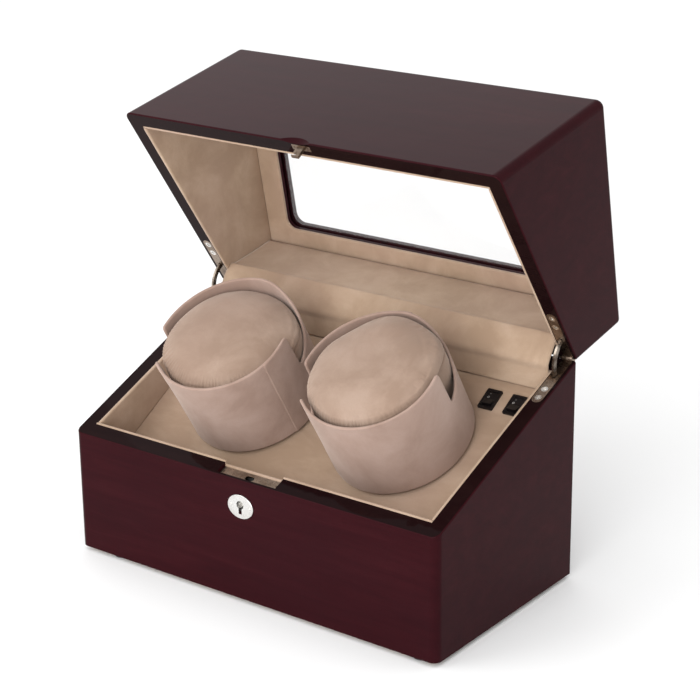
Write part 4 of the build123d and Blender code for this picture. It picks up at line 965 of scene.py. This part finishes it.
def stuffed(side, rest, faces, rows, seam_row):
    """The cover's vertices after its stuffing has pushed it out, no further than SWELL_CAP."""
    cover = build(f"cover_{side}", rest, faces, SUEDE_CUSHION, None)
    simulate(cover, seam_row, rows)
    co = np.array([v.co for v in cover.data.vertices])
    bpy.data.objects.remove(cover)
    move = co - rest
    size = np.linalg.norm(move, axis=1)
    return rest + move * (SWELL_CAP * np.tanh(size / SWELL_CAP) / np.maximum(size, 1e-9))[:, None]


def make_cushion(side):
    """A domed cushion: its cut cover stuffed, leaned to one side, and roughened by hand sewing."""
    profile, top, seam_row = cushion_profile(side)
    turn = np.linspace(0, 2 * math.pi, SEGMENTS, endpoint=False)
    around = np.column_stack([np.cos(turn), np.sin(turn)])
    rings = np.array([np.column_stack([r * around, np.full(SEGMENTS, h)]) for r, h in profile])
    rest, faces = revolved((0, 0, top), rings, (0, 0, profile[-1][1]))
    co = stuffed(side, rest, faces, len(profile), seam_row)
    seam, lean_x, lean_y = DOME[side][1], *DOME[side][5:]
    share = np.clip((co[:, 2] - 0.030) / (seam - 0.030), 0, 1)
    co[:, 2] += share * (lean_x * co[:, 0] + lean_y * co[:, 1])
    rings = doubled(doubled(co[1:-1].reshape(rings.shape), 1), 0)
    co, faces = revolved(co[0], rings, co[-1])
    shape_cushion(co, side)
    made = build(f"suede_cushion_{side}", co, faces, SUEDE_CUSHION, None)
    made.data.transform(cup_frame(side))
    made.data.update()
    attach(made, f"cushion_{side}")
    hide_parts(f"cushion_{side}")
    return made


def noise_at(*columns):
    """Noise at each place of three coordinate columns."""
    return np.array([noise.noise(Vector(place)) for place in zip(*columns)])


def shape_cushion(co, side):
    """Hand-sewn unevenness: gathers above the seam, slack folds, and dents and swellings in the stuffing."""
    seed = 5.0 if side == "left" else 9.0
    seam, lean_x, lean_y = DOME[side][1], *DOME[side][5:]
    radius = np.maximum(np.hypot(co[:, 0], co[:, 1]), 1e-6)
    c, d = co[:, 0] / radius, co[:, 1] / radius
    t = np.arctan2(d, c)
    away = np.full(len(co), seed)
    above = co[:, 2] - seam - lean_x * co[:, 0] - lean_y * co[:, 1]
    front = np.maximum(np.cos(t - math.radians(255)), 0) ** 0.6
    strength = 0.35 + 1.3 * np.abs(noise_at(c * 9, d * 9, away + 3))
    gathers = np.cos(t * 98 + 9 * noise_at(c * 3, d * 3, away)) * strength * front
    near = np.clip((0.0110 - above) / 0.0035, 0, 1) * np.clip((above + 0.002) / 0.002, 0, 1)
    out = -0.0011 * np.exp(-((above / 0.0010) ** 2)) - 0.0005 * front * near + 0.00050 * near * gathers
    fold = np.clip(above / 0.006, 0, 1) * np.clip((radius - 0.015) / 0.015, 0, 1)
    lift = 0.00036 * near * gathers + 0.0009 * fold * noise_at(co[:, 0] / 0.022, co[:, 1] / 0.022, away)
    for middle, spread, low, high, push, rise in DENTS[side]:
        off = (np.degrees(t) - middle + 180) % 360 - 180
        band = np.clip((co[:, 2] - low) / 0.006, 0, 1) * np.clip((high - co[:, 2]) / 0.006, 0, 1)
        share = band * np.exp(-((off / spread) ** 2))
        out += push * share * np.clip((radius / CUSHION_R - 0.78) / 0.15, 0, 1)
        lift += rise * share * np.minimum(1.0, radius / CUSHION_R) ** 3
    co[:, 0] += c * out
    co[:, 1] += d * out
    co[:, 2] += lift


def simulate(obj, seam_row, rows):
    """Cloth with pressure, held at the seam ring and the underside, as a sewn cover round its stuffing."""
    group = obj.vertex_groups.new(name="held")
    seam = range(1 + seam_row * SEGMENTS, 1 + (seam_row + 1) * SEGMENTS)
    underside = range(1 + (rows - 8) * SEGMENTS, 2 + rows * SEGMENTS)
    group.add([*seam, *underside], 1.0, "REPLACE")
    cloth = obj.modifiers.new("cover", "CLOTH")
    settings = cloth.settings
    settings.quality = 6
    settings.mass = 0.2
    settings.tension_stiffness = 12
    settings.compression_stiffness = 12
    settings.shear_stiffness = 4
    settings.bending_stiffness = 0.4
    settings.use_pressure = True
    settings.uniform_pressure_force = 4.0
    settings.shrink_min = -0.018
    settings.vertex_group_mass = "held"
    settings.effector_weights.gravity = 0.0
    cloth.collision_settings.use_collision = False
    for step in range(1, 21):
        scene.frame_set(step)
    apply_modifiers(obj)
    scene.frame_set(1)


def apply_modifiers(obj):
    """Keep the object's evaluated shape as its own mesh."""
    depsgraph = bpy.context.evaluated_depsgraph_get()
    mesh = bpy.data.meshes.new_from_object(obj.evaluated_get(depsgraph))
    obj.modifiers.clear()
    old = obj.data
    obj.data = mesh
    bpy.data.meshes.remove(old)
    mesh.name = obj.name


for side in SIDES:
    make_cushion(side)


# ---------------------------------------------------------------- stage, light and camera
def area_light(name, place, target, size, power):
    """A soft rectangular lamp aimed at a point."""
    data = bpy.data.lights.new(name, "AREA")
    data.shape = "RECTANGLE"
    data.size, data.size_y = size
    data.energy = power
    lamp = added(name, data)
    lamp.location = place
    lamp.rotation_euler = (Vector(target) - Vector(place)).to_track_quat("-Z", "Y").to_euler()


world = bpy.data.worlds.new("studio")
scene.world = world
world.use_nodes = True
background = world.node_tree.nodes["Background"]
background.inputs["Color"].default_value = (1.0, 1.0, 1.0, 1.0)
background.inputs["Strength"].default_value = 1.06

floor_mesh = bpy.data.meshes.new("floor")
REACH = 8.0
corners = [(-REACH, -REACH, 0), (REACH, -REACH, 0), (REACH, REACH, 0), (-REACH, REACH, 0)]
floor_mesh.from_pydata(corners, [], [(0, 1, 2, 3)])
floor_nodes = Nodes("pale_floor")
floor_tone = floor_nodes.mix(floor_nodes.noise(2.0), (0.88, 0.88, 0.88), (0.91, 0.91, 0.91))
floor_nodes.set(Base_Color=floor_tone, Roughness=0.9, Specular_IOR_Level=0.1)
floor_mesh.materials.append(floor_nodes.material)
added("floor", floor_mesh)

area_light("key", (-1.1, -1.5, 1.5), (0, 0, 0.2), (1.2, 1.2), 12)
area_light("fill", (0.5, -2.0, 0.7), (0, 0, 0.2), (1.4, 1.4), 33)
area_light("top_glow", (-1.9, 1.9, 2.1), (0, 0, 0.3), (2.6, 2.2), 7)

# the camera stands to the front right and looks down at the box: angles in radians, place in metres
AZIMUTH, ELEVATION, ROLL = 0.648, 0.342, -0.0111
CAMERA_PLACE = Vector((0.82714, -1.085, 0.64183))
camera_data = bpy.data.cameras.new("camera")
camera_data.sensor_width = 36.0
camera_data.lens = 104.07
camera_data.clip_end = 50.0
flat = math.cos(ELEVATION)
forward = Vector((-math.sin(AZIMUTH) * flat, math.cos(AZIMUTH) * flat, -math.sin(ELEVATION)))
right = Vector((math.cos(AZIMUTH), math.sin(AZIMUTH), 0))
upward = right.cross(forward)
across = right * math.cos(ROLL) + upward * math.sin(ROLL)
upright = upward * math.cos(ROLL) - right * math.sin(ROLL)
pose = Matrix((across, upright, -forward)).transposed().to_4x4()
pose.translation = CAMERA_PLACE
camera = added("camera", camera_data)
camera.matrix_world = pose
scene.camera = camera
